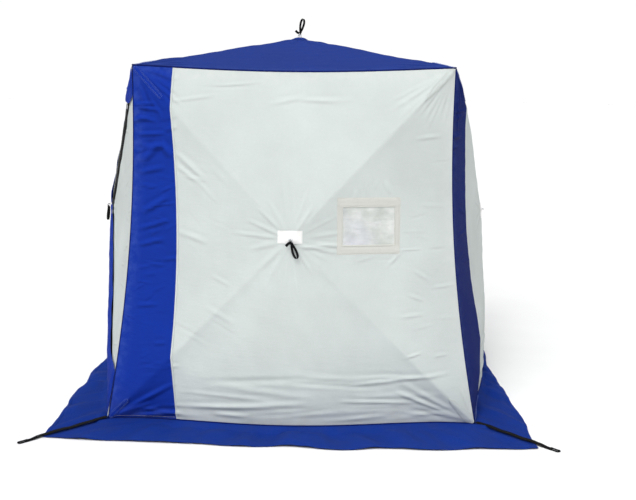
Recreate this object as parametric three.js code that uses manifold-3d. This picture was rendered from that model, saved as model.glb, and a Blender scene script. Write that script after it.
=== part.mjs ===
// Pop-up hub ice fishing shelter. Millimetres, +Z up, origin on the ground at the middle
// of the floor, the front wall faces -Y. Each of the five faces is a shallow fabric
// pyramid pushed out by a central hub and four rods that reach to the face's corners.
import * as THREE from 'three';
import { mergeVertices } from 'three/addons/utils/BufferGeometryUtils.js';
import Module from 'manifold-3d';

const wasm = await Module();
wasm.setup();

// ---- Driving dimensions -----------------------------------------------------------
const BASE_HALF = 925; // half the base width, corner to corner
const TOP_HALF = 785; // half the width at the roof corners
const CORNER_HEIGHT = 1760; // height of the roof corners
const HUB_UP = 944; // wall hub's foot, measured up the sloping wall
const WALL_POPS = [235, 200, 235, 235]; // how far each wall's hub stands out of its plane
const ROOF_POP = 150; // how far the roof hub stands above the roof corners
const UPRIGHT_SAGS = [40, 49, 50, 50]; // each vertical edge draws in this much half-way up
const UPRIGHT_POWER = 1.1;
const TOP_SAG = 25; // the roof edges draw in and down this much in the middle
const BASE_BOW = 150; // the bottom edges bow out this much in the middle
const BASE_LIFT = 30; // and lift this much
const TOP_POWER = 1.25;
const WALL_DOMES = [27, 20, 27, 0]; // and its fabric bulges this much half-way to the hub
const DOME_POWER = 1.5;
const FABRIC = 2; // fabric thickness
const SEAM_GAP = 3.5; // each face stops this far short of the edge it shares
const RIM_LEVEL = SEAM_GAP / TOP_HALF; // the same as a share of the way to the hub
const SEAM_SLIT = 0.3; // half the gap between two panels sewn edge to edge
const EDGE_STEPS = 8; // fabric segments along one edge
const HUB_HOLE = 12; // half the hole in the fabric that the hub's stem passes

const STRIP_EDGE = -590; // the coloured strip lies left of this line on each wall
const STRIP_BULGE = 28; // and its seam bends this much towards the hub
const STRIP_REACH = 600; // between these heights over and under the hub
const STRIP_FOOT = 20; // and this much again at the foot of the wall
const WINDOW_PANE = { u0: 246, u1: 498, v0: -32, v1: 152 };
const WINDOW_BORDER = { side: 27, tall: 45 }; // width of the binding beside and over the pane

const HUB_RADIUS = 40;
const HUB_THICK = 16;
const PIN_RADIUS = 3;
const PIN_RING = 26; // radius of the ring on which the four rod pins sit
const PIN_DEPTH = 30; // pins below the fabric's peak
const SLOT_WIDTH = 10;
const SLOT_BACK = 13; // a slot runs this far in past its pin
const STEM_RADIUS = 7;
const WASHER_RADIUS = 20;
const WASHER_LOW = -0.5; // washer's faces over the fabric's peak
const WASHER_HIGH = 2.5;
const STAPLE_BAR = 14; // height of the pull staple's bar over the fabric's peak
const STAPLE_HALF = 9;
const STAPLE_WIRE = 2.2;

const ROD_RADIUS = 5;
const ROD_EYE_THICK = 7;
const ROD_EYE_HEIGHT = 11;
const ROD_EYE_LENGTH = 24;
const ROD_HOLE = 3.9;
const TIP_SHORT = 62; // a rod stops this far short of the corner along the face
const TIP_INSIDE = 24; // and this far inside the face's plane

const GUARD_OFFSET = 12; // corner guard's plates inside the fabric planes
const GUARD_LEG = 34;
const GUARD_THICK = 3;
const GUARD_CUT = 1.15; // share of a leg at which the plates' far corners are cut off

const SKIRT_THICK = 2.5;
const SKIRT_CORNERS = [[-1180, -1190], [1185, -1250], [1180, 1190], [-1180, 1190]];
const SKIRT_BOWS = [55, -47, 30, -12]; // its outer edges bow out this much in the middle
const SKIRT_FALL = 0.226; // share of its width over which the lifted seam comes down

const STRAP_WIDTH = 25;
const STRAP_THICK = 2.5;
const STRAP_OVER = 375; // the strap leaves the skirt's edge this far from the corner
const STRAP_END = 1275; // X and Y of the strap's far end
const STRAP_SLOT = { long: 40, wide: 13 };

const LOOP_LENGTH = 92;
const LOOP_WIDTH = 30;
const LOOP_BAND = 3.6; // webbing thickness
const LOOP_DEPTH = 14; // webbing width
const LOOP_TILT = 20; // degrees by which the front loop hangs to the right
const LOOP_NECK = 4.6; // half its width at the bar
const LOOP_SLEEVE = { outer: 4.8, inner: 2.9, half: 6.4 };

const DOOR_HINGE_INSET = 85; // door's hinge line inside the wall's edge
const DOOR_ROD_MARGIN = 45; // door's zip inside the rod lines
const DOOR_ROUND = 70; // length of the rounding at the door's three corners
const ZIP_HALF = 5;
const SLIDER = { width: 14, length: 26, height: 5, clear: 2.6, inset: 60 };

// ---- Colours -----------------------------------------------------------------------
const BLUE = 0x2a4aa6;
const NAVY = 0x1e2f74;
const IVORY = 0xe2e4dd;
const BLACK = 0x141518;
const CLEAR = 0xc9c6dc;
const STEEL = 0xb8bcc0;

const finish = (color, roughness = 0.8, metalness = 0) =>
  new THREE.MeshStandardMaterial({ color, roughness, metalness });

const part = new THREE.Group();

// ---- Solids and booleans -----------------------------------------------------------
function toSolid(geometry, matrix = null) {
  const plain = geometry.clone();
  plain.deleteAttribute('normal');
  plain.deleteAttribute('uv');
  if (matrix) plain.applyMatrix4(matrix);
  const welded = mergeVertices(plain, 1e-4);
  return new wasm.Manifold(new wasm.Mesh({
    numProp: 3,
    vertProperties: new Float32Array(welded.attributes.position.array),
    triVerts: new Uint32Array(welded.index.array),
  }));
}

function toGeometry(solid) {
  const mesh = solid.getMesh();
  const geometry = new THREE.BufferGeometry();
  geometry.setAttribute('position', new THREE.BufferAttribute(mesh.vertProperties, 3));
  geometry.setIndex(new THREE.BufferAttribute(mesh.triVerts, 1));
  return geometry;
}

function addPart(name, solid, material) {
  const mesh = new THREE.Mesh(toGeometry(solid), material);
  mesh.name = name;
  part.add(mesh);
}

const box = (x0, x1, y0, y1, z0, z1) => toSolid(
  new THREE.BoxGeometry(x1 - x0, y1 - y0, z1 - z0),
  new THREE.Matrix4().makeTranslation((x0 + x1) / 2, (y0 + y1) / 2, (z0 + z1) / 2),
);

// A cylinder from z0 to z1 along Z, placed by an optional matrix.
function cylinder(radius, z0, z1, sides, matrix = new THREE.Matrix4()) {
  const upright = new THREE.Matrix4().makeRotationX(Math.PI / 2);
  const lift = new THREE.Matrix4().makeTranslation(0, 0, (z0 + z1) / 2);
  const place = matrix.clone().multiply(lift).multiply(upright);
  return toSolid(new THREE.CylinderGeometry(radius, radius, z1 - z0, sides), place);
}

// A flat outline in X and Y, extruded from z0 to z1.
function prism(shape, z0, z1, matrix = new THREE.Matrix4()) {
  const settings = { depth: z1 - z0, bevelEnabled: false, curveSegments: 6 };
  const geometry = new THREE.ExtrudeGeometry(shape, settings);
  const place = matrix.clone().multiply(new THREE.Matrix4().makeTranslation(0, 0, z0));
  return toSolid(geometry, place);
}

const polygon = (points) => new THREE.Shape(points.map(([x, y]) => new THREE.Vector2(x, y)));

// ---- The fabric's edges ------------------------------------------------------------
const SIGNS = [[-1, -1], [1, -1], [1, 1], [-1, 1]]; // corners, counted from the front left
const OUTWARD = [[0, -1], [1, 0], [0, 1], [-1, 0]]; // walls: front, right, back, left
const WALL_NAMES = ['front', 'right', 'back', 'left'];
const CORNER_NAMES = ['front_left', 'front_right', 'back_right', 'back_left'];

function corner(i, half, height) {
  const [sx, sy] = SIGNS[i % 4];
  return new THREE.Vector3(sx * half, sy * half, height);
}

const baseCorner = (i) => corner(i, BASE_HALF, 0);
const topCorner = (i) => corner(i, TOP_HALF, CORNER_HEIGHT);
const hump = (f, power) => (1 - (2 * f - 1) ** 2) ** power;
const outward = (i) => new THREE.Vector3(OUTWARD[i % 4][0], OUTWARD[i % 4][1], 0);

function upright(i, f) {
  const draw = UPRIGHT_SAGS[i % 4] * hump(f, UPRIGHT_POWER);
  const point = baseCorner(i).lerp(topCorner(i), f);
  return point.sub(new THREE.Vector3(SIGNS[i % 4][0] * draw, SIGNS[i % 4][1] * draw, 0));
}

function baseEdge(i, f) {
  const point = baseCorner(i).lerp(baseCorner(i + 1), f);
  point.addScaledVector(outward(i), BASE_BOW * hump(f, 2));
  point.z += BASE_LIFT * hump(f, 1);
  return point;
}

function roofEdge(i, f) {
  const draw = TOP_SAG * hump(f, TOP_POWER);
  const point = topCorner(i).lerp(topCorner(i + 1), f).addScaledVector(outward(i), -draw);
  point.z -= draw;
  return point;
}

// ---- The five faces ----------------------------------------------------------------
// A face has its own frame: origin at the hub's foot in the plane of the four corners,
// u to the right and v up as seen from outside, n outward. Its edges run anticlockwise
// from the bottom left corner.
function makeFace(name, foot, u, v, pop, dome, edges, names) {
  const n = u.clone().cross(v);
  const frame = new THREE.Matrix4().makeBasis(u, v, n).setPosition(foot);
  const inverse = frame.clone().invert();
  const corners = edges.map((edge) => edge(0).applyMatrix4(inverse));
  return { name, frame, inverse, pop, dome, edges, corners, names };
}

function makeWall(i) {
  const out = outward(i);
  const lean = Math.atan((BASE_HALF - TOP_HALF) / CORNER_HEIGHT);
  const v = new THREE.Vector3(0, 0, Math.cos(lean)).addScaledVector(out, -Math.sin(lean));
  const u = new THREE.Vector3(0, 0, 1).cross(out);
  const foot = out.clone().multiplyScalar(BASE_HALF).addScaledVector(v, HUB_UP);
  const edges = [
    (f) => baseEdge(i, f),
    (f) => upright(i + 1, f),
    (f) => roofEdge(i, 1 - f),
    (f) => upright(i, 1 - f),
  ];
  const names = ['lower_left', 'lower_right', 'upper_right', 'upper_left'];
  return makeFace(WALL_NAMES[i], foot, u, v, WALL_POPS[i], WALL_DOMES[i], edges, names);
}

const walls = WALL_NAMES.map((_, i) => makeWall(i));
const roof = makeFace(
  'roof',
  new THREE.Vector3(0, 0, CORNER_HEIGHT),
  new THREE.Vector3(1, 0, 0),
  new THREE.Vector3(0, 1, 0),
  ROOF_POP,
  0,
  [0, 1, 2, 3].map((i) => (f) => roofEdge(i, f)),
  CORNER_NAMES,
);
const faces = [...walls, roof];

const place = (solid, face) => solid.transform(face.frame.elements);

// How far the fabric bulges over the straight line from rim to hub, for a share of that
// line counted from the hub.
const bulge = (face, share) => face.dome * Math.sin(Math.PI * share ** DOME_POWER);

// The closed fabric pyramid of one face in the face's own frame: lines run from the four
// edge curves to the hub, where a hole is left for the hub's stem.
function pyramid(face) {
  const rim = [];
  for (const edge of face.edges) {
    for (let step = 0; step < EDGE_STEPS; step += 1) {
      rim.push(edge(step / EDGE_STEPS).applyMatrix4(face.inverse));
    }
  }
  const peak = new THREE.Vector3(0, 0, face.pop);
  const inmost = 1 - HUB_HOLE / TOP_HALF;
  const levels = face.dome > 0 ? [RIM_LEVEL, 0.25, 0.5, 0.75, inmost] : [RIM_LEVEL, 0.5, inmost];
  const count = rim.length;
  const positions = [];
  for (const offset of [0, -FABRIC]) {
    for (const level of levels) {
      for (const point of rim) {
        const p = point.clone().lerp(peak, level);
        positions.push(p.x, p.y, p.z + bulge(face, 1 - level) + offset);
      }
    }
  }
  const index = [];
  const inner = levels.length * count;
  const quad = (a, b, c, d) => index.push(a, b, c, a, c, d);
  for (let k = 0; k < count; k += 1) {
    const next = (k + 1) % count;
    for (let level = 0; level < levels.length - 1; level += 1) {
      const low = level * count;
      const high = low + count;
      quad(low + k, low + next, high + next, high + k);
      quad(inner + low + next, inner + low + k, inner + high + k, inner + high + next);
    }
    const last = (levels.length - 1) * count;
    quad(inner + k, inner + next, next, k);
    quad(last + k, last + next, inner + last + next, inner + last + k);
  }
  const geometry = new THREE.BufferGeometry();
  geometry.setAttribute('position', new THREE.Float32BufferAttribute(positions, 3));
  geometry.setIndex(index);
  return toSolid(geometry);
}

const FAR = 2000;
const between = (u0, u1, v0, v1) => box(u0, u1, v0, v1, -FAR, FAR);

// The part of a face to the left of its coloured strip's seam, grown by a distance.
function leftOfSeam(grow) {
  const inner = [-1, -2 / 3, -1 / 3, 0, 1 / 3, 2 / 3, 1].map((share) => share * STRIP_REACH);
  const seam = [-FAR, -BASE_HALF, ...inner, FAR].map((v) => {
    const low = Math.max(-v - STRIP_REACH, 0) / (BASE_HALF - STRIP_REACH);
    const middle = Math.max(1 - (v / STRIP_REACH) ** 2, 0);
    return [STRIP_EDGE + STRIP_BULGE * middle + STRIP_FOOT * Math.min(low, 1) + grow, v];
  });
  return prism(polygon([...seam, [-FAR, FAR], [-FAR, -FAR]]), -FAR / 4, FAR / 4);
}

// ---- Door outline on the left wall -------------------------------------------------
// The door fills the wall's front triangle: two edges beside the rods, one hinge line.
const doorWall = walls[3];
const [, lowCorner, highCorner] = doorWall.corners;

function offsetLine(from, to, distance) {
  const along = new THREE.Vector2(to.x - from.x, to.y - from.y).normalize();
  const side = new THREE.Vector2(-along.y, along.x).multiplyScalar(distance);
  return { point: new THREE.Vector2(from.x, from.y).add(side), along };
}

function crossing(a, b) {
  const gap = b.point.clone().sub(a.point);
  const reach = gap.cross(b.along) / a.along.cross(b.along);
  return a.point.clone().addScaledVector(a.along, reach);
}

// Corners of the door: hub, hinge bottom, hinge top, moved in or out by a distance.
function doorCorners(grow, hingeGrow = grow) {
  const lower = offsetLine({ x: 0, y: 0 }, lowCorner, DOOR_ROD_MARGIN - grow);
  const hinge = offsetLine(lowCorner, highCorner, DOOR_HINGE_INSET - hingeGrow);
  const upper = offsetLine(highCorner, { x: 0, y: 0 }, DOOR_ROD_MARGIN - grow);
  return [crossing(upper, lower), crossing(lower, hinge), crossing(hinge, upper)];
}

function doorShape(grow, hingeGrow = grow) {
  const corners = doorCorners(grow, hingeGrow);
  const shape = new THREE.Shape();
  corners.forEach((corner, k) => {
    const before = corners[(k + 2) % 3].clone().sub(corner).normalize().multiplyScalar(DOOR_ROUND);
    const after = corners[(k + 1) % 3].clone().sub(corner).normalize().multiplyScalar(DOOR_ROUND);
    const start = corner.clone().add(before);
    const end = corner.clone().add(after);
    if (k === 0) shape.moveTo(start.x, start.y);
    else shape.lineTo(start.x, start.y);
    shape.quadraticCurveTo(corner.x, corner.y, end.x, end.y);
  });
  return shape;
}

const doorPrism = (grow, hingeGrow) => prism(doorShape(grow, hingeGrow), -FAR / 4, FAR / 4);

// ---- Fabric panels, window, door and zip -------------------------------------------
const windowHole = (side, tall = side) => between(
  WINDOW_PANE.u0 - side,
  WINDOW_PANE.u1 + side,
  WINDOW_PANE.v0 - tall,
  WINDOW_PANE.v1 + tall,
);

function makeFabric() {
  for (const wall of walls) {
    const shell = pyramid(wall);
    const strip = shell.intersect(leftOfSeam(-SEAM_SLIT));
    let field = shell.subtract(leftOfSeam(SEAM_SLIT));
    if (wall.name === 'front') {
      const { side, tall } = WINDOW_BORDER;
      const slit = SEAM_SLIT * 2;
      field = field.subtract(windowHole(side, tall));
      const frame = windowHole(side - slit, tall - slit).subtract(windowHole(0));
      const binding = shell.intersect(frame);
      addPart('front_window_binding', place(binding, wall), finish(IVORY));
      const pane = shell.intersect(windowHole(-slit));
      addPart('front_window_pane', place(pane, wall), finish(CLEAR, 0.15));
    }
    if (wall.name === 'left') {
      field = field.subtract(doorPrism(ZIP_HALF + SEAM_SLIT * 2, SEAM_SLIT * 2));
      const door = shell.intersect(doorPrism(-ZIP_HALF - SEAM_SLIT, -SEAM_SLIT));
      addPart('door_panel', place(door, wall), finish(IVORY));
      const band = shell.intersect(doorPrism(ZIP_HALF, 0));
      const zip = band.subtract(doorPrism(-ZIP_HALF, FAR / 8));
      addPart('door_zip', place(largest(zip), wall), finish(BLACK));
    }
    const stripColor = wall.name === 'right' ? NAVY : BLUE;
    addPart(`${wall.name}_wall_strip`, place(strip, wall), finish(stripColor));
    addPart(`${wall.name}_wall_field`, place(field, wall), finish(IVORY));
  }
  addPart('roof_panel', place(pyramid(roof), roof), finish(BLUE));
}

// A cut can leave slivers beside the piece it is meant to make.
function largest(solid) {
  const pieces = solid.decompose();
  return pieces.reduce((best, piece) => (piece.volume() > best.volume() ? piece : best));
}

// ---- Zip sliders -------------------------------------------------------------------
// Each slider sits over its straight run of the zip, near the hinge end of that run.
function makeSliders() {
  const [hubEnd, hingeLow, hingeHigh] = doorCorners(0);
  const surface = (p) => fabricHeight(doorWall, p.x, p.y);
  for (const [name, end] of [['door_slider_lower', hingeLow], ['door_slider_upper', hingeHigh]]) {
    const along = hubEnd.clone().sub(end).normalize();
    const centre = end.clone().addScaledVector(along, SLIDER.inset + DOOR_ROUND / 2);
    const goal = hubEnd.clone().addScaledVector(along, -SLIDER.inset);
    const start3 = new THREE.Vector3(centre.x, centre.y, surface(centre));
    const goal3 = new THREE.Vector3(goal.x, goal.y, surface(goal));
    const x = goal3.clone().sub(start3).normalize();
    const z = new THREE.Vector3(0, 0, 1).addScaledVector(x, -x.z).normalize();
    const y = z.clone().cross(x);
    const spot = new THREE.Matrix4().makeBasis(x, y, z).setPosition(start3);
    const { width, length, height, clear } = SLIDER;
    const body = box(-length / 2, length / 2, -width / 2, width / 2, clear, clear + height);
    const tab = box(
      -length * 1.4, -length / 2 + 1,
      -width / 4, width / 4,
      clear + height / 2, clear + height,
    );
    addPart(name, place(body.add(tab).transform(spot.elements), doorWall), finish(STEEL, 0.4, 0.9));
  }
}

// Height n of the fabric over the face's plane at u, v, in the triangle on the right.
function fabricHeight(face, u, v) {
  const edge = face.edges[1];
  let low = 0;
  let high = 1;
  for (let k = 0; k < 40; k += 1) {
    const mid = (low + high) / 2;
    const p = edge(mid).applyMatrix4(face.inverse);
    if (p.y * u < v * p.x) low = mid;
    else high = mid;
  }
  const p = edge(low).applyMatrix4(face.inverse);
  const out = u / p.x;
  return p.z * out + face.pop * (1 - out) + bulge(face, out);
}

// ---- Hubs, rods and pull loops -----------------------------------------------------
// Direction in the face's plane from the hub towards corner k, as a turn about n.
const bearing = (face, k) => Math.atan2(face.corners[k].y, face.corners[k].x);

function makeHub(face) {
  const top = -PIN_DEPTH + HUB_THICK / 2;
  let hub = cylinder(HUB_RADIUS, top - HUB_THICK, top, 28);
  for (let k = 0; k < 4; k += 1) {
    const turn = new THREE.Matrix4().makeRotationZ(bearing(face, k));
    const slot = box(
      PIN_RING - SLOT_BACK, HUB_RADIUS + 5,
      -SLOT_WIDTH / 2, SLOT_WIDTH / 2,
      top - HUB_THICK * 2, top + 5,
    );
    hub = hub.subtract(slot.transform(turn.elements));
    const across = new THREE.Matrix4().makeTranslation(PIN_RING, 0, -PIN_DEPTH)
      .multiply(new THREE.Matrix4().makeRotationX(Math.PI / 2));
    const reach = SLOT_WIDTH / 2 + 1.5;
    hub = hub.add(cylinder(PIN_RADIUS, -reach, reach, 10, turn.clone().multiply(across)));
  }
  hub = hub.add(cylinder(STEM_RADIUS, top - HUB_THICK, WASHER_HIGH, 14));
  hub = hub.add(cylinder(WASHER_RADIUS, WASHER_LOW, WASHER_HIGH, 24));
  for (const side of [-1, 1]) {
    const leg = box(-1.5, 1.5, -1.5, 1.5, WASHER_LOW + 1, STAPLE_BAR + 1);
    hub = hub.add(leg.translate([side * STAPLE_HALF, 0, 0]));
  }
  const sideways = new THREE.Matrix4().makeTranslation(0, 0, STAPLE_BAR)
    .multiply(new THREE.Matrix4().makeRotationY(Math.PI / 2));
  hub = hub.add(cylinder(STAPLE_WIRE, -STAPLE_HALF - 1.5, STAPLE_HALF + 1.5, 10, sideways));
  const lifted = hub.translate([0, 0, face.pop]);
  addPart(`${face.name}_hub`, place(lifted, face), finish(STEEL, 0.45, 0.8));
}

function makeRods(face) {
  const across = new THREE.Matrix4().makeRotationX(Math.PI / 2);
  for (let k = 0; k < 4; k += 1) {
    const corner = face.corners[k];
    const reach = Math.hypot(corner.x, corner.y) - TIP_SHORT - PIN_RING;
    const drop = face.pop - PIN_DEPTH + TIP_INSIDE;
    const length = Math.hypot(reach, drop);
    const spot = new THREE.Matrix4().makeRotationZ(bearing(face, k))
      .multiply(new THREE.Matrix4().makeTranslation(PIN_RING, 0, face.pop - PIN_DEPTH))
      .multiply(new THREE.Matrix4().makeRotationY(Math.atan2(drop, reach)));
    const lie = new THREE.Matrix4().makeRotationY(Math.PI / 2);
    const half = ROD_EYE_THICK / 2;
    const eyeRound = cylinder(ROD_EYE_HEIGHT / 2, -half, half, 12, across);
    const eyePlate = box(
      0, ROD_EYE_LENGTH,
      -half, half,
      -ROD_EYE_HEIGHT / 2, ROD_EYE_HEIGHT / 2,
    );
    const hole = cylinder(ROD_HOLE, -ROD_EYE_THICK, ROD_EYE_THICK, 10, across);
    const shaft = cylinder(ROD_RADIUS, ROD_EYE_LENGTH - 2, length, 8, lie);
    const rod = eyeRound.add(eyePlate).add(shaft).subtract(hole);
    const name = `${face.name}_rod_${face.names[k]}`;
    addPart(name, place(rod.transform(spot.elements), face), finish(BLACK, 0.5));
  }
}

// A webbing loop, drawn hanging along -Y from the staple's bar, which runs along X.
function loopSolid(tilt) {
  const outline = (offset, bottom) => {
    const half = LOOP_WIDTH / 2 - offset;
    const neck = LOOP_NECK - offset * 0.6;
    const top = -LOOP_SLEEVE.inner - offset;
    const shoulder = -LOOP_LENGTH * 0.45;
    const side = -LOOP_LENGTH * 0.5;
    const shape = new THREE.Shape();
    shape.moveTo(-neck, top);
    shape.bezierCurveTo(-neck, shoulder, -half, side, -half, bottom + half);
    shape.absarc(0, bottom + half, half, Math.PI, Math.PI * 2, false);
    shape.bezierCurveTo(half, side, neck, shoulder, neck, top);
    return shape;
  };
  const outer = prism(outline(0, -LOOP_LENGTH), -LOOP_DEPTH / 2, LOOP_DEPTH / 2);
  const inner = prism(outline(LOOP_BAND, -LOOP_LENGTH + LOOP_BAND), -LOOP_DEPTH, LOOP_DEPTH);
  const across = new THREE.Matrix4().makeRotationY(Math.PI / 2);
  const { outer: outside, inner: bore, half } = LOOP_SLEEVE;
  const turn = new THREE.Matrix4().makeRotationZ(THREE.MathUtils.degToRad(tilt));
  return outer.subtract(inner).transform(turn.elements)
    .add(cylinder(outside, -half, half, 14, across))
    .subtract(cylinder(bore, -half - 1, half + 1, 10, across));
}

function makeLoop(face) {
  const stand = new THREE.Matrix4().makeTranslation(0, 0, face.pop + STAPLE_BAR);
  if (face === roof) stand.multiply(new THREE.Matrix4().makeRotationX(-Math.PI / 2));
  const loop = loopSolid(face === walls[0] ? LOOP_TILT : 0).transform(stand.elements);
  addPart(`${face.name}_pull_loop`, place(loop, face), finish(BLACK));
}

// ---- Corner guards, skirt and anchor straps ----------------------------------------
// Three small plates that meet in a corner, drawn with their inside towards +X +Y +Z,
// or towards +X +Y -Z for the guards that hang under the roof.
function guardSolid(up, lift) {
  const near = GUARD_OFFSET;
  const far = GUARD_OFFSET + GUARD_LEG;
  const thick = GUARD_OFFSET + GUARD_THICK;
  const level = (z0, z1) => (up ? [z0, z1] : [-z1, -z0]);
  const plates = box(near, thick, near, far, ...level(lift, lift + GUARD_LEG))
    .add(box(near, far, near, thick, ...level(lift, lift + GUARD_LEG)))
    .add(box(near, far, near, far, ...level(lift, lift + GUARD_THICK)));
  const normal = new THREE.Vector3(-1, -1, up ? -1 : 1).normalize();
  const cut = (2 * near + lift + GUARD_LEG * GUARD_CUT) / Math.sqrt(3);
  return plates.trimByPlane(normal.toArray(), -cut);
}

function makeGuards() {
  SIGNS.forEach(([sx, sy], i) => {
    const turn = new THREE.Matrix4().makeRotationZ((i * Math.PI) / 2).elements;
    const foot = guardSolid(true, 0).transform(turn).translate([sx * BASE_HALF, sy * BASE_HALF, 0]);
    addPart(`corner_foot_${CORNER_NAMES[i]}`, foot, finish(BLACK, 0.6));
    const guard = guardSolid(false, GUARD_OFFSET).transform(turn);
    const high = guard.translate([sx * TOP_HALF, sy * TOP_HALF, CORNER_HEIGHT]);
    addPart(`corner_guard_${CORNER_NAMES[i]}`, high, finish(BLACK, 0.6));
  });
}

const skirtCorner = (i) => new THREE.Vector3(...SKIRT_CORNERS[i % 4], 0);

function makeSkirt() {
  const steps = EDGE_STEPS * 2;
  const rows = [[], [], []];
  for (let i = 0; i < 4; i += 1) {
    for (let step = 0; step < steps; step += 1) {
      const f = step / steps;
      const seam = baseEdge(i, f).addScaledVector(outward(i), SEAM_GAP);
      const far = skirtCorner(i).lerp(skirtCorner(i + 1), f);
      far.addScaledVector(outward(i), SKIRT_BOWS[i] * hump(f, 1.5));
      if (step === 0) seam.addScaledVector(outward(i + 3), SEAM_GAP);
      far.z = 0;
      const down = seam.clone().lerp(far, SKIRT_FALL);
      down.z = 0;
      rows[0].push(seam);
      rows[1].push(down);
      rows[2].push(far);
    }
  }
  const count = rows[0].length;
  const positions = [];
  for (const lift of [SKIRT_THICK, 0]) {
    for (const row of rows) for (const p of row) positions.push(p.x, p.y, p.z + lift);
  }
  const under = rows.length * count;
  const index = [];
  const quad = (a, b, c, d) => index.push(a, b, c, a, c, d);
  for (let k = 0; k < count; k += 1) {
    const next = (k + 1) % count;
    for (let row = 0; row < rows.length - 1; row += 1) {
      const a = row * count;
      const b = a + count;
      quad(a + next, a + k, b + k, b + next);
      quad(under + a + k, under + a + next, under + b + next, under + b + k);
    }
    const last = (rows.length - 1) * count;
    quad(k, next, under + next, under + k);
    quad(last + next, last + k, under + last + k, under + last + next);
  }
  const geometry = new THREE.BufferGeometry();
  geometry.setAttribute('position', new THREE.Float32BufferAttribute(positions, 3));
  geometry.setIndex(index);
  addPart('snow_skirt', toSolid(geometry), finish(BLUE));
}

// A flat webbing strap over the skirt's corner, drawn along +X from the corner at x = 0,
// seen from the side as a bent strip, with a slot for a stake at its far end.
function strapSolid() {
  const end = (STRAP_END - BASE_HALF) * Math.SQRT2;
  const rest = SKIRT_THICK + 0.5;
  const under = [
    [9, 12], [60, rest + 1],
    [STRAP_OVER - 20, rest], [STRAP_OVER + 12, rest],
    [STRAP_OVER + 45, 0], [end, 0],
  ];
  const over = [...under].reverse().map(([x, z]) => [x, z + STRAP_THICK]);
  const tilt = new THREE.Matrix4().makeRotationX(Math.PI / 2);
  const strip = prism(polygon([...under, ...over]), -STRAP_WIDTH / 2, STRAP_WIDTH / 2, tilt);
  const { long, wide } = STRAP_SLOT;
  const edge = end - (STRAP_WIDTH - wide) / 2;
  return strip.subtract(box(edge - long, edge, -wide / 2, wide / 2, -5, 20));
}

function makeStraps() {
  SIGNS.forEach(([sx, sy], i) => {
    const turn = new THREE.Matrix4().makeRotationZ(Math.atan2(sy, sx));
    const strap = strapSolid().transform(turn.elements);
    const spot = strap.translate([sx * BASE_HALF, sy * BASE_HALF, 0]);
    addPart(`anchor_strap_${CORNER_NAMES[i]}`, spot, finish(BLACK));
  });
}

makeFabric();
makeSliders();
for (const face of faces) {
  makeHub(face);
  makeRods(face);
  if (face.name !== 'right') makeLoop(face);
}
makeGuards();
makeSkirt();
makeStraps();

export default part;
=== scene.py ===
"""Ice fishing shelter: a pop-up cube of stretched cloth over hubs and rods, in metres."""

import math

import bpy
import numpy as np
from mathutils import Matrix


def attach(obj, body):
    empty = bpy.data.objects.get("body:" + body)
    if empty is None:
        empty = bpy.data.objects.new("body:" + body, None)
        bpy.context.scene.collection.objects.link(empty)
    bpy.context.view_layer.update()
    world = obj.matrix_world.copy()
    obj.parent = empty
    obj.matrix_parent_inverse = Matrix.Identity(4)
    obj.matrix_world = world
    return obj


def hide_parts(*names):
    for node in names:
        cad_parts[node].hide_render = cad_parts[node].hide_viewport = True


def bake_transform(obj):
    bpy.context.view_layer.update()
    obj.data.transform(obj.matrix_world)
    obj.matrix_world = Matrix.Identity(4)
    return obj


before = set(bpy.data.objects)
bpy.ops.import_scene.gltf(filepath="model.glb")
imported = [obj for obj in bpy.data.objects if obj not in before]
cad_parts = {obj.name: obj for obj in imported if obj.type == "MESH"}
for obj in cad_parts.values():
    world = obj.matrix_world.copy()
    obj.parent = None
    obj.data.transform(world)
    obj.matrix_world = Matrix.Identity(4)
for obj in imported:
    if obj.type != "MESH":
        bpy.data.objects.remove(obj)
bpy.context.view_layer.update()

# ---- Sizes of the shelter ------------------------------------------------------------
# Walls are listed front, right, back, left, and corners go round from the front left.
BASE_HALF = 0.925
TOP_HALF = 0.785
CORNER_HEIGHT = 1.760
HUB_UP = 0.944
WALL_RISE = 0.8216
WALL_POPS = (0.235, 0.200, 0.235, 0.235)
WALL_DOMES = (0.027, 0.020, 0.027, 0.0)
ROOF_POP = 0.150
UPRIGHT_SAGS = (0.040, 0.049, 0.050, 0.050)
UPRIGHT_POWER = 1.1
TOP_SAG = 0.025
TOP_POWER = 1.25
BASE_BOW = 0.150
BASE_LIFT = 0.030
SEAM_U = -0.590
SEAM_BULGE = 0.028
SEAM_FOOT = 0.020
STRAIGHT = 0.600
PANE = (0.246, 0.498, -0.032, 0.152)  # left, right, foot and top, from the front hub
BINDING = (0.027, 0.045)  # beside the pane, and above and below it
STAPLE_BAR = 0.014
DOOR_CORNERS = ((0.0626, 0.0004), (0.8267, -0.7794), (0.7110, 0.6790))
DOOR_ROUND = 0.070
SKIRT_CORNERS = ((-1.180, -1.190), (1.185, -1.250), (1.180, 1.190), (-1.180, 1.190))
SKIRT_BOWS = (0.055, -0.047, 0.030, -0.012)
GRID = 0.0085
HUB_HOLE = 0.010
LOOP_ROOM = (0.040, 0.110, 0.005)  # half width, below and above: cloth that stays behind a pull loop

Z = np.array([0.0, 0.0, 1.0])
SIGNS = np.array([(-1, -1), (1, -1), (1, 1), (-1, 1)], float)
OUTWARD = np.array([(0, -1, 0), (1, 0, 0), (0, 1, 0), (-1, 0, 0)], float)
CORNER_NAMES = ("front_left", "front_right", "back_right", "back_left")


def hump(f, power):
    return np.maximum(1 - (2 * f - 1) ** 2, 0) ** power


def smooth(x):
    x = np.clip(x, 0, 1)
    return x * x * (3 - 2 * x)


def unit(a):
    return a / np.linalg.norm(a, axis=-1, keepdims=True)


def line(a, b, f):
    return np.outer(1 - f, a) + np.outer(f, b)


def run_along(path):
    """The distance along a path at each of its points."""
    return np.concatenate([[0], np.cumsum(np.linalg.norm(np.diff(path, axis=0), axis=1))])


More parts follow.
